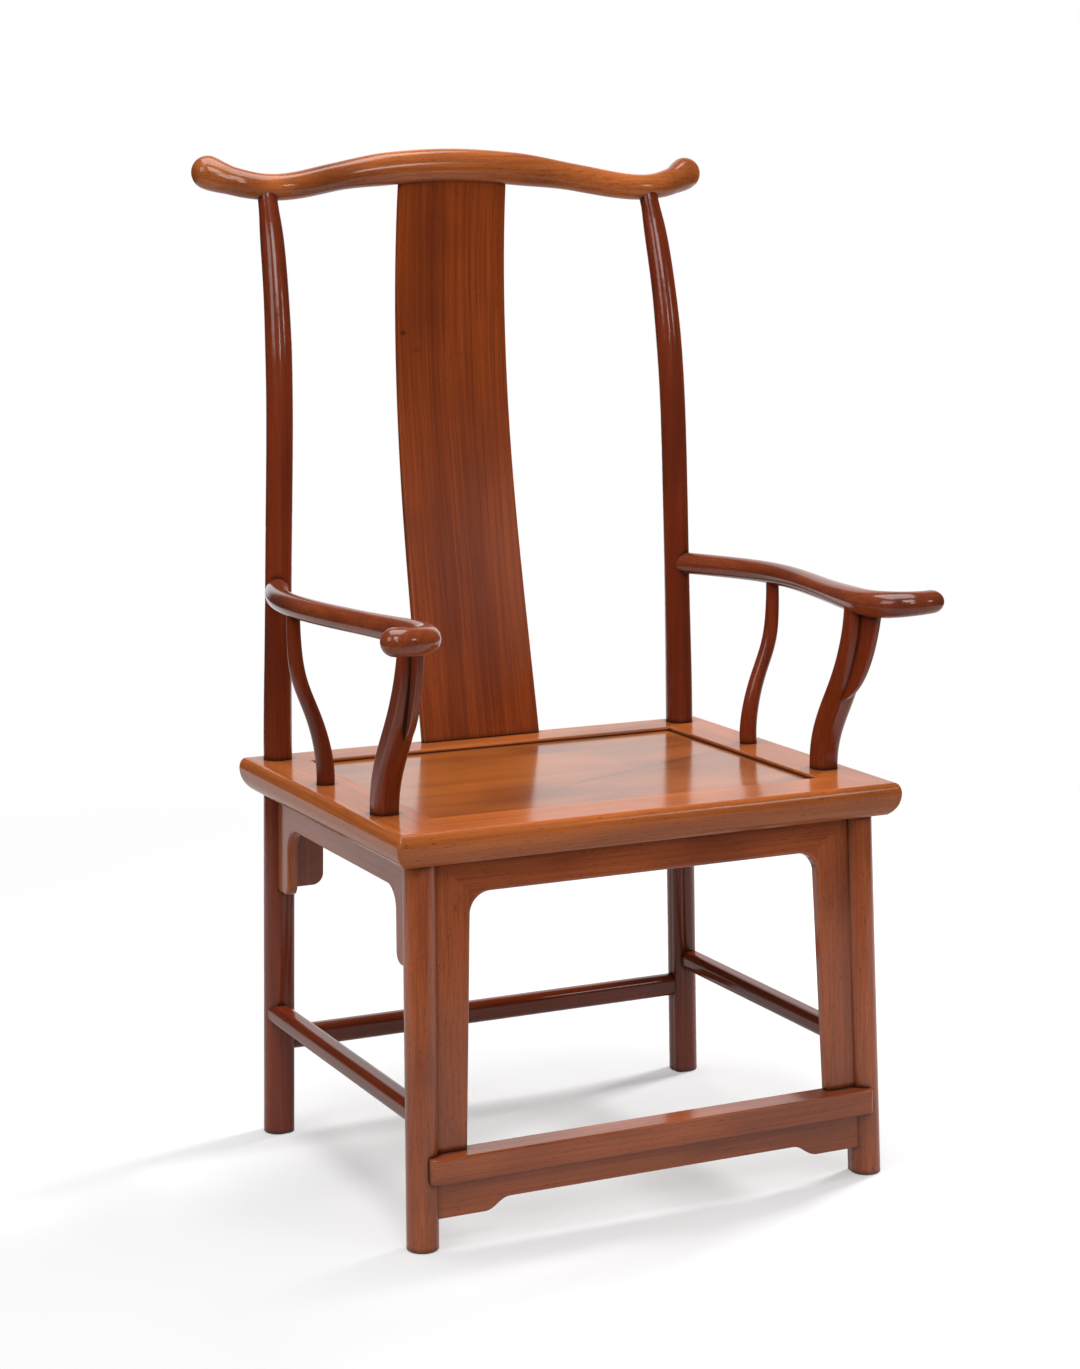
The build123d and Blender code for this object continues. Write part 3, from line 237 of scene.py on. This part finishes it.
# Which way the grain runs in each piece, and its finish where it isn't the frame's.
GRAIN_TURN = {
    "x": Euler((0, -math.pi / 2, 0)),
    "y": Euler((math.pi / 2, 0, 0)),
    "z": Euler((0, 0, 0)),
}
ACROSS = ["crest_rail", "seat_rail_front", "seat_rail_back", "seat_panel", "front_apron_top"]
ACROSS += ["rear_apron", "footrest", "footrest_apron", "rear_stretcher"]
FORWARD = ["side_apron_left", "side_apron_right"]
FORWARD_STARTS = ("armrest", "seat_rail", "side_stretcher", "seat_batten")
PIECE_FINISH = {
    "crest_rail": "crest",
    "seat_rail": "bright",
    "seat_panel": "panel",
    "back_splat": "splat",
    "rear_post": "dark",
    "armrest": "arm",
    "arm_": "dark",
    "rear_stretcher": "dark",
    "side_stretcher": "dark",
}


# ---------------------------------------------------------------- small tools
def colour(code):
    """Linear RGBA from an sRGB hex value."""
    parts = [int(code[i : i + 2], 16) / 255 for i in (1, 3, 5)]
    linear = [p / 12.92 if p <= 0.04045 else ((p + 0.055) / 1.055) ** 2.4 for p in parts]
    return (*linear, 1.0)


def add(tree, kind, inputs=None, out=0, **settings):
    """A new node, its properties set and its inputs given values or other nodes' outputs.

    Returns one of its outputs, or the node itself where out is None.  Math and Mix nodes have
    several sockets of one name, so theirs go by number: in a Mix node 0 is the weight, 2 and 3
    are its numbers, 6 and 7 are its colours, and output 2 is the mixed colour."""
    made = tree.nodes.new(kind)
    for name, value in settings.items():
        setattr(made, name, value)
    for key, value in (inputs or {}).items():
        if isinstance(value, bpy.types.NodeSocket):
            tree.links.new(value, made.inputs[key])
        else:
            made.inputs[key].default_value = value
    return made if out is None else made.outputs[out]


def node_tree(owner):
    """The emptied node tree of a new material or world."""
    owner.use_nodes = True
    owner.node_tree.nodes.clear()
    return owner.node_tree


def new_object(name, data):
    thing = bpy.data.objects.new(name, data)
    bpy.context.scene.collection.objects.link(thing)
    return thing


def mirrored(line):
    return [(-x, y, z) for x, y, z in line]


def line_slopes(points, knots):
    """Slope of the curve at each point, so that it bends as evenly as a thin batten."""
    count = len(points)
    steps = np.diff(knots)
    matrix = np.zeros((count, count))
    right = np.zeros((count, 3))
    for i in range(1, count - 1):
        matrix[i, i - 1 : i + 2] = 1 / steps[i - 1], 2 / steps[i - 1] + 2 / steps[i], 1 / steps[i]
        before = (points[i] - points[i - 1]) / steps[i - 1] ** 2
        after = (points[i + 1] - points[i]) / steps[i] ** 2
        right[i] = 3 * (before + after)
    # each end has the slope of the cubic through its four nearest points
    for row, ends in ((0, slice(0, 4)), (-1, slice(-4, None))):
        matrix[row, row] = 1
        cubic = np.polyfit(knots[ends] - knots[row], points[ends], 3)
        right[row] = cubic[-2]
    return np.linalg.solve(matrix, right)


def smooth_line(points, samples):
    """Points along the smooth curve through the given ones."""
    points = np.array(points, float)
    knots = np.concatenate([[0], np.cumsum(np.linalg.norm(np.diff(points, axis=0), axis=1))])
    slopes = line_slopes(points, knots)
    line = []
    for at in np.linspace(0, knots[-1], samples):
        i = min(max(np.searchsorted(knots, at, "right") - 1, 0), len(points) - 2)
        step = knots[i + 1] - knots[i]
        t = (at - knots[i]) / step
        line.append(
            (2 * t**3 - 3 * t**2 + 1) * points[i]
            + (t**3 - 2 * t**2 + t) * step * slopes[i]
            + (3 * t**2 - 2 * t**3) * points[i + 1]
            + (t**3 - t**2) * step * slopes[i + 1]
        )
    return np.array(line)


# ---------------------------------------------------------------- rosewood
def blank_place(turn, centre, blank):
    """Move that puts a piece's centre at its own blank's place in the log."""
    away = [PITH_AWAY[i] + BLANK_STEP[i] * (blank % BLANKS_ACROSS[i]) for i in (0, 1)]
    heart = Vector((*away, BLANK_STEP[2] * blank)) * MM
    return heart - turn.to_matrix() @ centre


def straying_grain(tree, board):
    """How the grain strays, slowly along the board, and places in the wood once it has."""
    slow = (1, 1, WANDER_ALONG)
    slow = add(tree, "ShaderNodeVectorMath", {0: board, 1: slow}, operation="MULTIPLY")
    stray = {"Vector": slow, "Scale": WANDER_SCALE, "Detail": 2.0}
    stray = add(tree, "ShaderNodeTexNoise", stray, out="Color")
    stray = add(tree, "ShaderNodeVectorMath", {0: stray, 1: (0.5, 0.5, 0.5)}, operation="SUBTRACT")
    sideways = (2 * WANDER * MM, 2 * WANDER * MM, 0)
    moved = {0: stray, 1: sideways, 2: board}
    moved = add(tree, "ShaderNodeVectorMath", moved, operation="MULTIPLY_ADD")
    return stray, moved


def grain_marks(tree, moved):
    """How much of each mark there is at a place in the wood, from 0 to 1."""
    marks = {}
    for mark, (width, length, broken, low, high) in MARKS.items():
        fineness = (1 / (width * MM), 1 / (width * MM), 1 / (length * MM))
        scaled = add(tree, "ShaderNodeVectorMath", {0: moved, 1: fineness}, operation="MULTIPLY")
        noise = {"Vector": scaled, "Scale": 1.0, "Detail": broken}
        noise = add(tree, "ShaderNodeTexNoise", noise)
        fade = {"Value": noise, "From Min": low, "From Max": high}
        marks[mark] = add(tree, "ShaderNodeMapRange", fade, interpolation_type="SMOOTHSTEP")
    rings = {"Vector": moved, "Scale": 2 * math.pi / (WAVE_TURN * GROWTH_LINE * MM), **LINE_SHAPE}
    kind = {"wave_type": "RINGS", "rings_direction": "Z", "wave_profile": "SAW"}
    rings = add(tree, "ShaderNodeTexWave", rings, out="Fac", **kind)
    low, high = LINE_FADE
    fade = {"Value": rings, "From Min": low, "From Max": high}
    marks["lines"] = add(tree, "ShaderNodeMapRange", fade, interpolation_type="SMOOTHSTEP")
    return marks


def spotted(tree, wood, dark, here, stray, spots):
    """The wood's colour with its knots, clouds and streaks."""
    around = (SPOT_STRAY * MM,) * 3
    for middle, halves, twist, strength in spots:
        place = {0: stray, 1: around, 2: here}
        spot = {
            "Vector": add(tree, "ShaderNodeVectorMath", place, operation="MULTIPLY_ADD"),
            "Location": Vector(middle) * MM,
            "Rotation": (0, 0, math.radians(twist)),
            "Scale": Vector(halves) * MM,
        }
        spot = add(tree, "ShaderNodeMapping", spot, vector_type="TEXTURE")
        reach = add(tree, "ShaderNodeVectorMath", {0: spot}, out="Value", operation="LENGTH")
        edge, core = SPOT_FADE
        fade = {"Value": reach, "From Min": edge, "From Max": core, "To Max": strength}
        weight = add(tree, "ShaderNodeMapRange", fade, interpolation_type="SMOOTHSTEP")
        wood = add(tree, "ShaderNodeMix", {0: weight, 6: wood, 7: dark}, out=2, data_type="RGBA")
    return wood


def waxed_and_shaded(tree, wood, dark):
    """The wood's colour darkened in corners and joints: painted shade where little light gets in,
    which also stands for old wax gathered there.
    """
    # painted shade: the less open a place is within the reach, the darker the wood
    near = {"Distance": JOINT_REACH * MM}
    openness = add(tree, "ShaderNodeAmbientOcclusion", near, out="AO", samples=WAX_AND_SHADE_SAMPLES)
    start, thick = WAX_AND_SHADE_FADE
    fade = {"Value": openness, "From Min": start, "From Max": thick, "To Max": WAX_AND_SHADE_DARKEST}
    weight = add(tree, "ShaderNodeMapRange", fade)
    return add(tree, "ShaderNodeMix", {0: weight, 6: wood, 7: dark}, out=2, data_type="RGBA")


def rosewood(name, finish, grain, centre, blank, spots):
    """Solid wood material for one piece, with its grain along an axis.

    blank picks the stretch of timber that the piece was cut from, so that no two match."""
    looks = FINISHES[finish]
    tones = {tone: colour(code) for tone, code in zip(TONES, looks["tones"])}
    material = bpy.data.materials.new(name)
    tree = node_tree(material)
    turn = GRAIN_TURN[grain]
    here = add(tree, "ShaderNodeTexCoord", out="Object")
    board = {"Vector": here, "Rotation": turn, "Location": blank_place(turn, centre, blank)}
    board = add(tree, "ShaderNodeMapping", board)
    follow = {0: board, 1: (1, looks["follow"], 1)}
    board = add(tree, "ShaderNodeVectorMath", follow, operation="MULTIPLY")
    stray, moved = straying_grain(tree, board)
    marks = grain_marks(tree, moved)

    wood = tones["pale"]
    for (mark, tone), share in zip(MARK_TONES.items(), looks["shares"]):
        weight = add(tree, "ShaderNodeMath", {0: marks[mark], 1: share}, operation="MULTIPLY")
        shade = {0: weight, 6: wood, 7: tones[tone]}
        wood = add(tree, "ShaderNodeMix", shade, out=2, data_type="RGBA")
    wood = spotted(tree, wood, tones["vein"], here, stray, spots)
    # painted shade and old wax in corners and joints, in the darkest tone
    wood = waxed_and_shaded(tree, wood, tones["pore"])

    # pores and fibres lie a few hundredths of a millimetre below the face of the wood, and the
    # polish over them is smooth
    pits = add(tree, "ShaderNodeMath", {0: marks["fibres"], 1: marks["pores"]}, operation="ADD")
    pits = {"Height": pits, "Strength": PORE_OPEN, "Distance": PORE_DEPTH * MM}
    fullness, roughness = looks["polish"]
    skin = {
        "Base Color": wood,
        "Roughness": WOOD_ROUGHNESS,
        "Specular IOR Level": WOOD_SHINE,
        "Normal": add(tree, "ShaderNodeBump", pits, invert=True),
        "Coat Normal": add(tree, "ShaderNodeNewGeometry", out="Normal"),
        "Coat Weight": fullness,
        "Coat Roughness": roughness,
        "Coat IOR": POLISH_IOR,
    }
    shader = add(tree, "ShaderNodeBsdfPrincipled", skin)
    add(tree, "ShaderNodeOutputMaterial", {"Surface": shader}, out=None)
    return material


def grain_of(name):
    if name in ACROSS:
        return "x"
    return "y" if name in FORWARD or name.startswith(FORWARD_STARTS) else "z"


def wood_for(name, blank):
    low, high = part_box(name)
    starts = [start for start in PIECE_FINISH if name.startswith(start)]
    finish = PIECE_FINISH[starts[0]] if starts else "frame"
    spots = SPOTS.get(name, [])
    return rosewood("wood_" + name, finish, grain_of(name), (low + high) / 2, blank, spots)


woods = {name: wood_for(name, blank) for blank, name in enumerate(sorted(nodes))}
for name, piece in nodes.items():
    piece.material_slots[0].material = woods[name]


# ---------------------------------------------------------------- crest rail and arms
def bar_inputs(tree, stations):
    """Named inputs and output of a bar's tree.  Returns the inputs."""
    sizes = ["Start round", "End round"]
    for label in ("Height", "Depth"):
        sizes += [f"{label} {i}" for i in range(len(stations))]
    tree.interface.new_socket("Path", in_out="INPUT", socket_type="NodeSocketGeometry")
    for label in sizes:
        tree.interface.new_socket(label, in_out="INPUT", socket_type="NodeSocketFloat")
    for label in ("Rings", "Tip rings", "Sides"):
        tree.interface.new_socket(label, in_out="INPUT", socket_type="NodeSocketInt")
    tree.interface.new_socket("Wood", in_out="INPUT", socket_type="NodeSocketMaterial")
    tree.interface.new_socket("Bar", in_out="OUTPUT", socket_type="NodeSocketGeometry")
    return add(tree, "NodeGroupInput", out=None).outputs


def ring_places(tree, given, path):
    """Each ring's place along the path, its fullness, its share of the bar, and the last's number.

    Rings are counted over the first half ball, then along the bar, then over the last one."""
    tips = given["Tip rings"]
    ring = add(tree, "GeometryNodeInputIndex")
    bar_end = add(tree, "ShaderNodeMath", {0: tips, 1: given["Rings"]}, operation="ADD")
    last_ring = add(tree, "ShaderNodeMath", {0: bar_end, 1: tips}, operation="ADD")
    first = {"Value": ring, "From Min": 0.0, "From Max": tips, "To Max": math.pi / 2}
    first = add(tree, "ShaderNodeMapRange", first)
    share = {"Value": ring, "From Min": tips, "From Max": bar_end}
    share = add(tree, "ShaderNodeMapRange", share)
    last = {"Value": ring, "From Min": bar_end, "From Max": last_ring, "To Max": math.pi / 2}
    last = add(tree, "ShaderNodeMapRange", last)

    length = add(tree, "GeometryNodeCurveLength", {"Curve": path})
    rounds = {0: given["Start round"], 1: given["End round"]}
    rounds = add(tree, "ShaderNodeMath", rounds, operation="ADD")
    between = add(tree, "ShaderNodeMath", {0: length, 1: rounds}, operation="SUBTRACT")
    begun = add(tree, "ShaderNodeMath", {0: first}, operation="COSINE")
    begun = add(tree, "ShaderNodeMath", {0: 1.0, 1: begun}, operation="SUBTRACT")
    ended = add(tree, "ShaderNodeMath", {0: last}, operation="SINE")
    place = {0: begun, 1: given["Start round"]}
    place = add(tree, "ShaderNodeMath", place, operation="MULTIPLY")
    place = {0: share, 1: between, 2: place}
    place = add(tree, "ShaderNodeMath", place, operation="MULTIPLY_ADD")
    place = {0: ended, 1: given["End round"], 2: place}
    place = add(tree, "ShaderNodeMath", place, operation="MULTIPLY_ADD")

    opening = add(tree, "ShaderNodeMath", {0: first}, operation="SINE")
    closing = add(tree, "ShaderNodeMath", {0: last}, operation="COSINE")
    fullness = add(tree, "ShaderNodeMath", {0: opening, 1: closing}, operation="MULTIPLY")
    return place, fullness, share, last_ring


def station_size(tree, given, label, share, stations):
    """Half height or half depth at a share of the length, eased from station to station."""
    size = given[f"{label} 0"]
    for i in range(1, len(stations)):
        change = {0: given[f"{label} {i}"], 1: given[f"{label} {i - 1}"]}
        change = add(tree, "ShaderNodeMath", change, operation="SUBTRACT")
        step = {"Value": share, "From Min": stations[i - 1][0], "From Max": stations[i][0]}
        step = add(tree, "ShaderNodeMapRange", step, interpolation_type="SMOOTHSTEP")
        size = {0: step, 1: change, 2: size}
        size = add(tree, "ShaderNodeMath", size, operation="MULTIPLY_ADD")
    return size


def squeezed(tree, bar, middle, side, flatness):
    """Round bar squeezed sideways about its centre line into an oval one."""
    point = add(tree, "GeometryNodeInputPosition")
    out = add(tree, "ShaderNodeVectorMath", {0: point, 1: middle}, operation="SUBTRACT")
    sideways = {0: out, 1: side}
    sideways = add(tree, "ShaderNodeVectorMath", sideways, out="Value", operation="DOT_PRODUCT")
    squeeze = add(tree, "ShaderNodeMath", {0: flatness, 1: 1.0}, operation="SUBTRACT")
    squeeze = add(tree, "ShaderNodeMath", {0: sideways, 1: squeeze}, operation="MULTIPLY")
    shift = add(tree, "ShaderNodeVectorMath", {0: side, "Scale": squeeze}, operation="SCALE")
    return add(tree, "GeometryNodeSetPosition", {"Geometry": bar, "Offset": shift})


def bar_tree(name, stations, from_middle):
    """Geometry Nodes that sweep an oval bar along a path, with a half ball on open ends.

    Each station is an input for the half height and half depth at its share of the length,
    and from_middle counts the shares from the middle of the bar to either end."""
    tree = bpy.data.node_groups.new(name, "GeometryNodeTree")
    given = bar_inputs(tree, stations)
    path = add(tree, "GeometryNodeMeshToCurve", {"Mesh": given["Path"]})
    place, fullness, share, last_ring = ring_places(tree, given, path)
    if from_middle:
        share = add(tree, "ShaderNodeMapRange", {"Value": share, "To Min": -1.0, "To Max": 1.0})
        share = add(tree, "ShaderNodeMath", {0: share}, operation="ABSOLUTE")
    height = station_size(tree, given, "Height", share, stations)
    depth = station_size(tree, given, "Depth", share, stations)

    count = add(tree, "ShaderNodeMath", {0: last_ring, 1: 1.0}, operation="ADD")
    line = add(tree, "GeometryNodeResampleCurve", {"Curve": path, "Count": count})
    spot = {"Curves": path, "Length": place}
    spot = add(tree, "GeometryNodeSampleCurve", spot, out=None, mode="LENGTH").outputs
    line = add(tree, "GeometryNodeSetPosition", {"Geometry": line, "Position": spot["Position"]})
    line = add(tree, "GeometryNodeSetCurveNormal", {"Curve": line}, mode="Z_UP")
    kept = add(tree, "GeometryNodeCaptureAttribute", out=None)
    for kind, label, value in (
        ("VECTOR", "Middle", spot["Position"]),
        ("VECTOR", "Side", add(tree, "GeometryNodeInputNormal")),
        ("FLOAT", "Flatness", add(tree, "ShaderNodeMath", {0: depth, 1: height}, operation="DIVIDE")),
    ):
        kept.capture_items.new(kind, label)
        tree.links.new(value, kept.inputs[label])
    tree.links.new(line, kept.inputs[0])
    circle = {"Resolution": given["Sides"], "Radius": 1.0}
    circle = add(tree, "GeometryNodeCurvePrimitiveCircle", circle)
    girth = add(tree, "ShaderNodeMath", {0: height, 1: fullness}, operation="MULTIPLY")
    bar = {"Curve": kept.outputs[0], "Profile Curve": circle, "Scale": girth}
    bar = add(tree, "GeometryNodeCurveToMesh", bar)
    oval = [kept.outputs[label] for label in ("Middle", "Side", "Flatness")]
    bar = squeezed(tree, bar, *oval)
    bar = add(tree, "GeometryNodeMergeByDistance", {"Geometry": bar, "Distance": WELD * MM})
    bar = add(tree, "GeometryNodeSetShadeSmooth", {"Geometry": bar})
    bar = add(tree, "GeometryNodeRealizeInstances", {"Geometry": bar})
    bar = add(tree, "GeometryNodeSetMaterial", {"Geometry": bar, "Material": given["Wood"]})
    add(tree, "NodeGroupOutput", {"Bar": bar}, out=None)
    return tree


def swept_bar(name, tree, line, stations, start_round, end_round):
    """Bar along a line of points in millimetres, as a plain mesh that replaces its CAD node."""
    first = line[0] - (line[1] - line[0]) / np.linalg.norm(line[1] - line[0]) * start_round
    last = line[-1] + (line[-1] - line[-2]) / np.linalg.norm(line[-1] - line[-2]) * end_round
    ends = ([first] if start_round else []), ([last] if end_round else [])
    points = np.array([*ends[0], *line, *ends[1]]) * MM
    path = bpy.data.meshes.new(name + "_line")
    path.from_pydata(points.tolist(), [(i, i + 1) for i in range(len(points) - 1)], [])
    maker = new_object(name + "_line", path)
    sweep = maker.modifiers.new("sweep", "NODES")
    sweep.node_group = tree
    values = {"Start round": start_round * MM, "End round": end_round * MM}
    for i, (_, height, depth) in enumerate(stations):
        values[f"Height {i}"] = height * MM
        values[f"Depth {i}"] = depth * MM
    values |= {"Rings": BAR_RINGS, "Tip rings": TIP_RINGS, "Sides": BAR_SIDES, "Wood": woods[name]}
    for socket in tree.interface.items_tree:
        if socket.name in values:
            sweep[socket.identifier] = values[socket.name]
    view = bpy.context.evaluated_depsgraph_get()
    mesh = bpy.data.meshes.new_from_object(maker.evaluated_get(view))
    bpy.data.objects.remove(maker)
    bar = new_object(name + "_bar", mesh)
    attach(bar, "root")
    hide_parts(name)


crest_tree = bar_tree("swept_crest", CREST_STATIONS, from_middle=True)
crest_line = smooth_line(mirrored(reversed(CREST_HALF_LINE[1:])) + CREST_HALF_LINE, LINE_POINTS)
crest_tip = CREST_STATIONS[-1][1]
swept_bar("crest_rail", crest_tree, crest_line, CREST_STATIONS, crest_tip, crest_tip)

arm_stations = {side: [*ARM_STATIONS, (1.0, *tip)] for side, tip in ARM_TIPS.items()}
arm_tree = bar_tree("swept_arm", arm_stations["right"], from_middle=False)
for side, line in (("right", ARM_LINE), ("left", mirrored(ARM_LINE))):
    line = smooth_line(line, LINE_POINTS)
    tip_depth = ARM_TIPS[side][1]
    swept_bar("armrest_" + side, arm_tree, line, arm_stations[side], 0.0, tip_depth)


# ---------------------------------------------------------------- studio
def room():
    """White backdrop in a darker room, which only polish shows, and even light from all round."""
    world = bpy.data.worlds.new("studio")
    bpy.context.scene.world = world
    tree = node_tree(world)
    ray = add(tree, "ShaderNodeLightPath", out=None).outputs
    way = add(tree, "ShaderNodeTexCoord", out="Generated")
    level_way = add(tree, "ShaderNodeVectorMath", {0: way, 1: (1, 1, 0)}, operation="MULTIPLY")
    level_way = add(tree, "ShaderNodeVectorMath", {0: level_way}, operation="NORMALIZE")
    behind = {0: level_way, 1: BACKDROP_WAY}
    behind = add(tree, "ShaderNodeVectorMath", behind, out="Value", operation="DOT_PRODUCT")
    low, high = BACKDROP_SIDES
    behind = {"Value": behind, "From Min": low, "From Max": high}
    behind = add(tree, "ShaderNodeMapRange", behind, interpolation_type="SMOOTHSTEP")
    height = add(tree, "ShaderNodeSeparateXYZ", {0: way}, out="Z")
    high, low = BACKDROP_TOP
    below = {"Value": height, "From Min": high, "From Max": low}
    below = add(tree, "ShaderNodeMapRange", below, interpolation_type="SMOOTHSTEP")
    backdrop = add(tree, "ShaderNodeMath", {0: behind, 1: below}, operation="MULTIPLY")
    shown = {0: backdrop, 2: ROOM_DARK, 3: 1.0}
    shown = add(tree, "ShaderNodeMix", shown, data_type="FLOAT")
    polish = {0: ray["Is Glossy Ray"], 1: ray["Is Transmission Ray"]}
    polish = add(tree, "ShaderNodeMath", polish, operation="ADD", use_clamp=True)
    level = add(tree, "ShaderNodeMix", {0: polish, 2: AMBIENT, 3: shown}, data_type="FLOAT")
    level = {0: ray["Is Camera Ray"], 2: level, 3: 1.0}
    level = add(tree, "ShaderNodeMix", level, data_type="FLOAT")
    sky = add(tree, "ShaderNodeBackground", {"Color": (1, 1, 1, 1), "Strength": level})
    add(tree, "ShaderNodeOutputWorld", {"Surface": sky}, out=None)


def lamps():
    for name, (place, size, power) in LAMPS.items():
        lamp = bpy.data.lights.new(name, "AREA")
        lamp.size = size
        lamp.energy = power
        holder = new_object(name, lamp)
        holder.location = place
        aim = Vector(LAMP_AIM) - Vector(place)
        holder.rotation_euler = aim.to_track_quat("-Z", "Y").to_euler()
        holder.visible_glossy = name not in GLARELESS


def white_paper():
    """Matt white paper that fades to plain white away from the chair.

    Polish shows it white too, except past its sides and its front end."""
    paper = bpy.data.materials.new("white_paper")
    tree = node_tree(paper)
    here = add(tree, "ShaderNodeTexCoord", out="Object")
    reach = add(tree, "ShaderNodeVectorMath", {0: here}, out="Value", operation="LENGTH")
    near, far = FLOOR_CLEAR
    away = {"Value": reach, "From Min": near, "From Max": far, "To Min": FLOOR_PLAIN}
    away = add(tree, "ShaderNodeMapRange", away, interpolation_type="SMOOTHSTEP")
    ahead = {0: here, 1: BACKDROP_WAY}
    ahead = add(tree, "ShaderNodeVectorMath", ahead, out="Value", operation="DOT_PRODUCT")
    dark, white = PAPER_FRONT
    lit = {"Value": ahead, "From Min": dark, "From Max": white}
    lit = add(tree, "ShaderNodeMapRange", lit, interpolation_type="SMOOTHSTEP")
    aside = {0: here, 1: (BACKDROP_WAY[1], -BACKDROP_WAY[0], 0)}
    aside = add(tree, "ShaderNodeVectorMath", aside, out="Value", operation="DOT_PRODUCT")
    aside = add(tree, "ShaderNodeMath", {0: aside}, operation="ABSOLUTE")
    white, dark = PAPER_SIDES
    within = {"Value": aside, "From Min": dark, "From Max": white}
    within = add(tree, "ShaderNodeMapRange", within, interpolation_type="SMOOTHSTEP")
    lit = add(tree, "ShaderNodeMath", {0: lit, 1: within}, operation="MULTIPLY")
    lit = add(tree, "ShaderNodeMix", {0: lit, 2: ROOM_DARK, 3: 1.0}, data_type="FLOAT")

    ray = add(tree, "ShaderNodeLightPath", out=None).outputs
    seen = {0: ray["Is Camera Ray"], 1: ray["Is Glossy Ray"]}
    seen = add(tree, "ShaderNodeMath", seen, operation="ADD", use_clamp=True)
    share = add(tree, "ShaderNodeMath", {0: seen, 1: away}, operation="MULTIPLY")
    strength = {0: ray["Is Camera Ray"], 2: lit, 3: 1.0}
    strength = add(tree, "ShaderNodeMix", strength, data_type="FLOAT")
    tint = {0: ray["Is Camera Ray"], 6: colour(FLOOR_BOUNCE), 7: colour(FLOOR_TONE)}
    tint = add(tree, "ShaderNodeMix", tint, out=2, data_type="RGBA")
    matt = add(tree, "ShaderNodeBsdfDiffuse", {"Color": tint})
    glow = add(tree, "ShaderNodeEmission", {"Color": (1, 1, 1, 1), "Strength": strength})
    mixed = add(tree, "ShaderNodeMixShader", {0: share, 1: matt, 2: glow})
    add(tree, "ShaderNodeOutputMaterial", {"Surface": mixed}, out=None)
    return paper


def floor():
    mesh = bpy.data.meshes.new("floor")
    half = FLOOR_HALF
    corners = [(-half, -half, 0), (half, -half, 0), (half, half, 0), (-half, half, 0)]
    mesh.from_pydata(corners, [], [(0, 1, 2, 3)])
    mesh.materials.append(white_paper())
    new_object("floor", mesh)


def camera():
    lens = bpy.data.cameras.new("camera")
    lens.lens = LENS
    lens.sensor_width = SENSOR
    lens.clip_end = CAMERA_REACH
    holder = new_object("camera", lens)
    place = Vector(CAMERA_PLACE)
    facing = (Vector(CAMERA_AIM) - place).to_track_quat("-Z", "Y").to_matrix()
    roll = Matrix.Rotation(math.radians(CAMERA_ROLL), 3, "Z")
    holder.matrix_world = Matrix.Translation(place) @ (facing @ roll).to_4x4()
    bpy.context.scene.camera = holder


room()
lamps()
floor()
camera()
bpy.context.scene.view_settings.view_transform = "Standard"
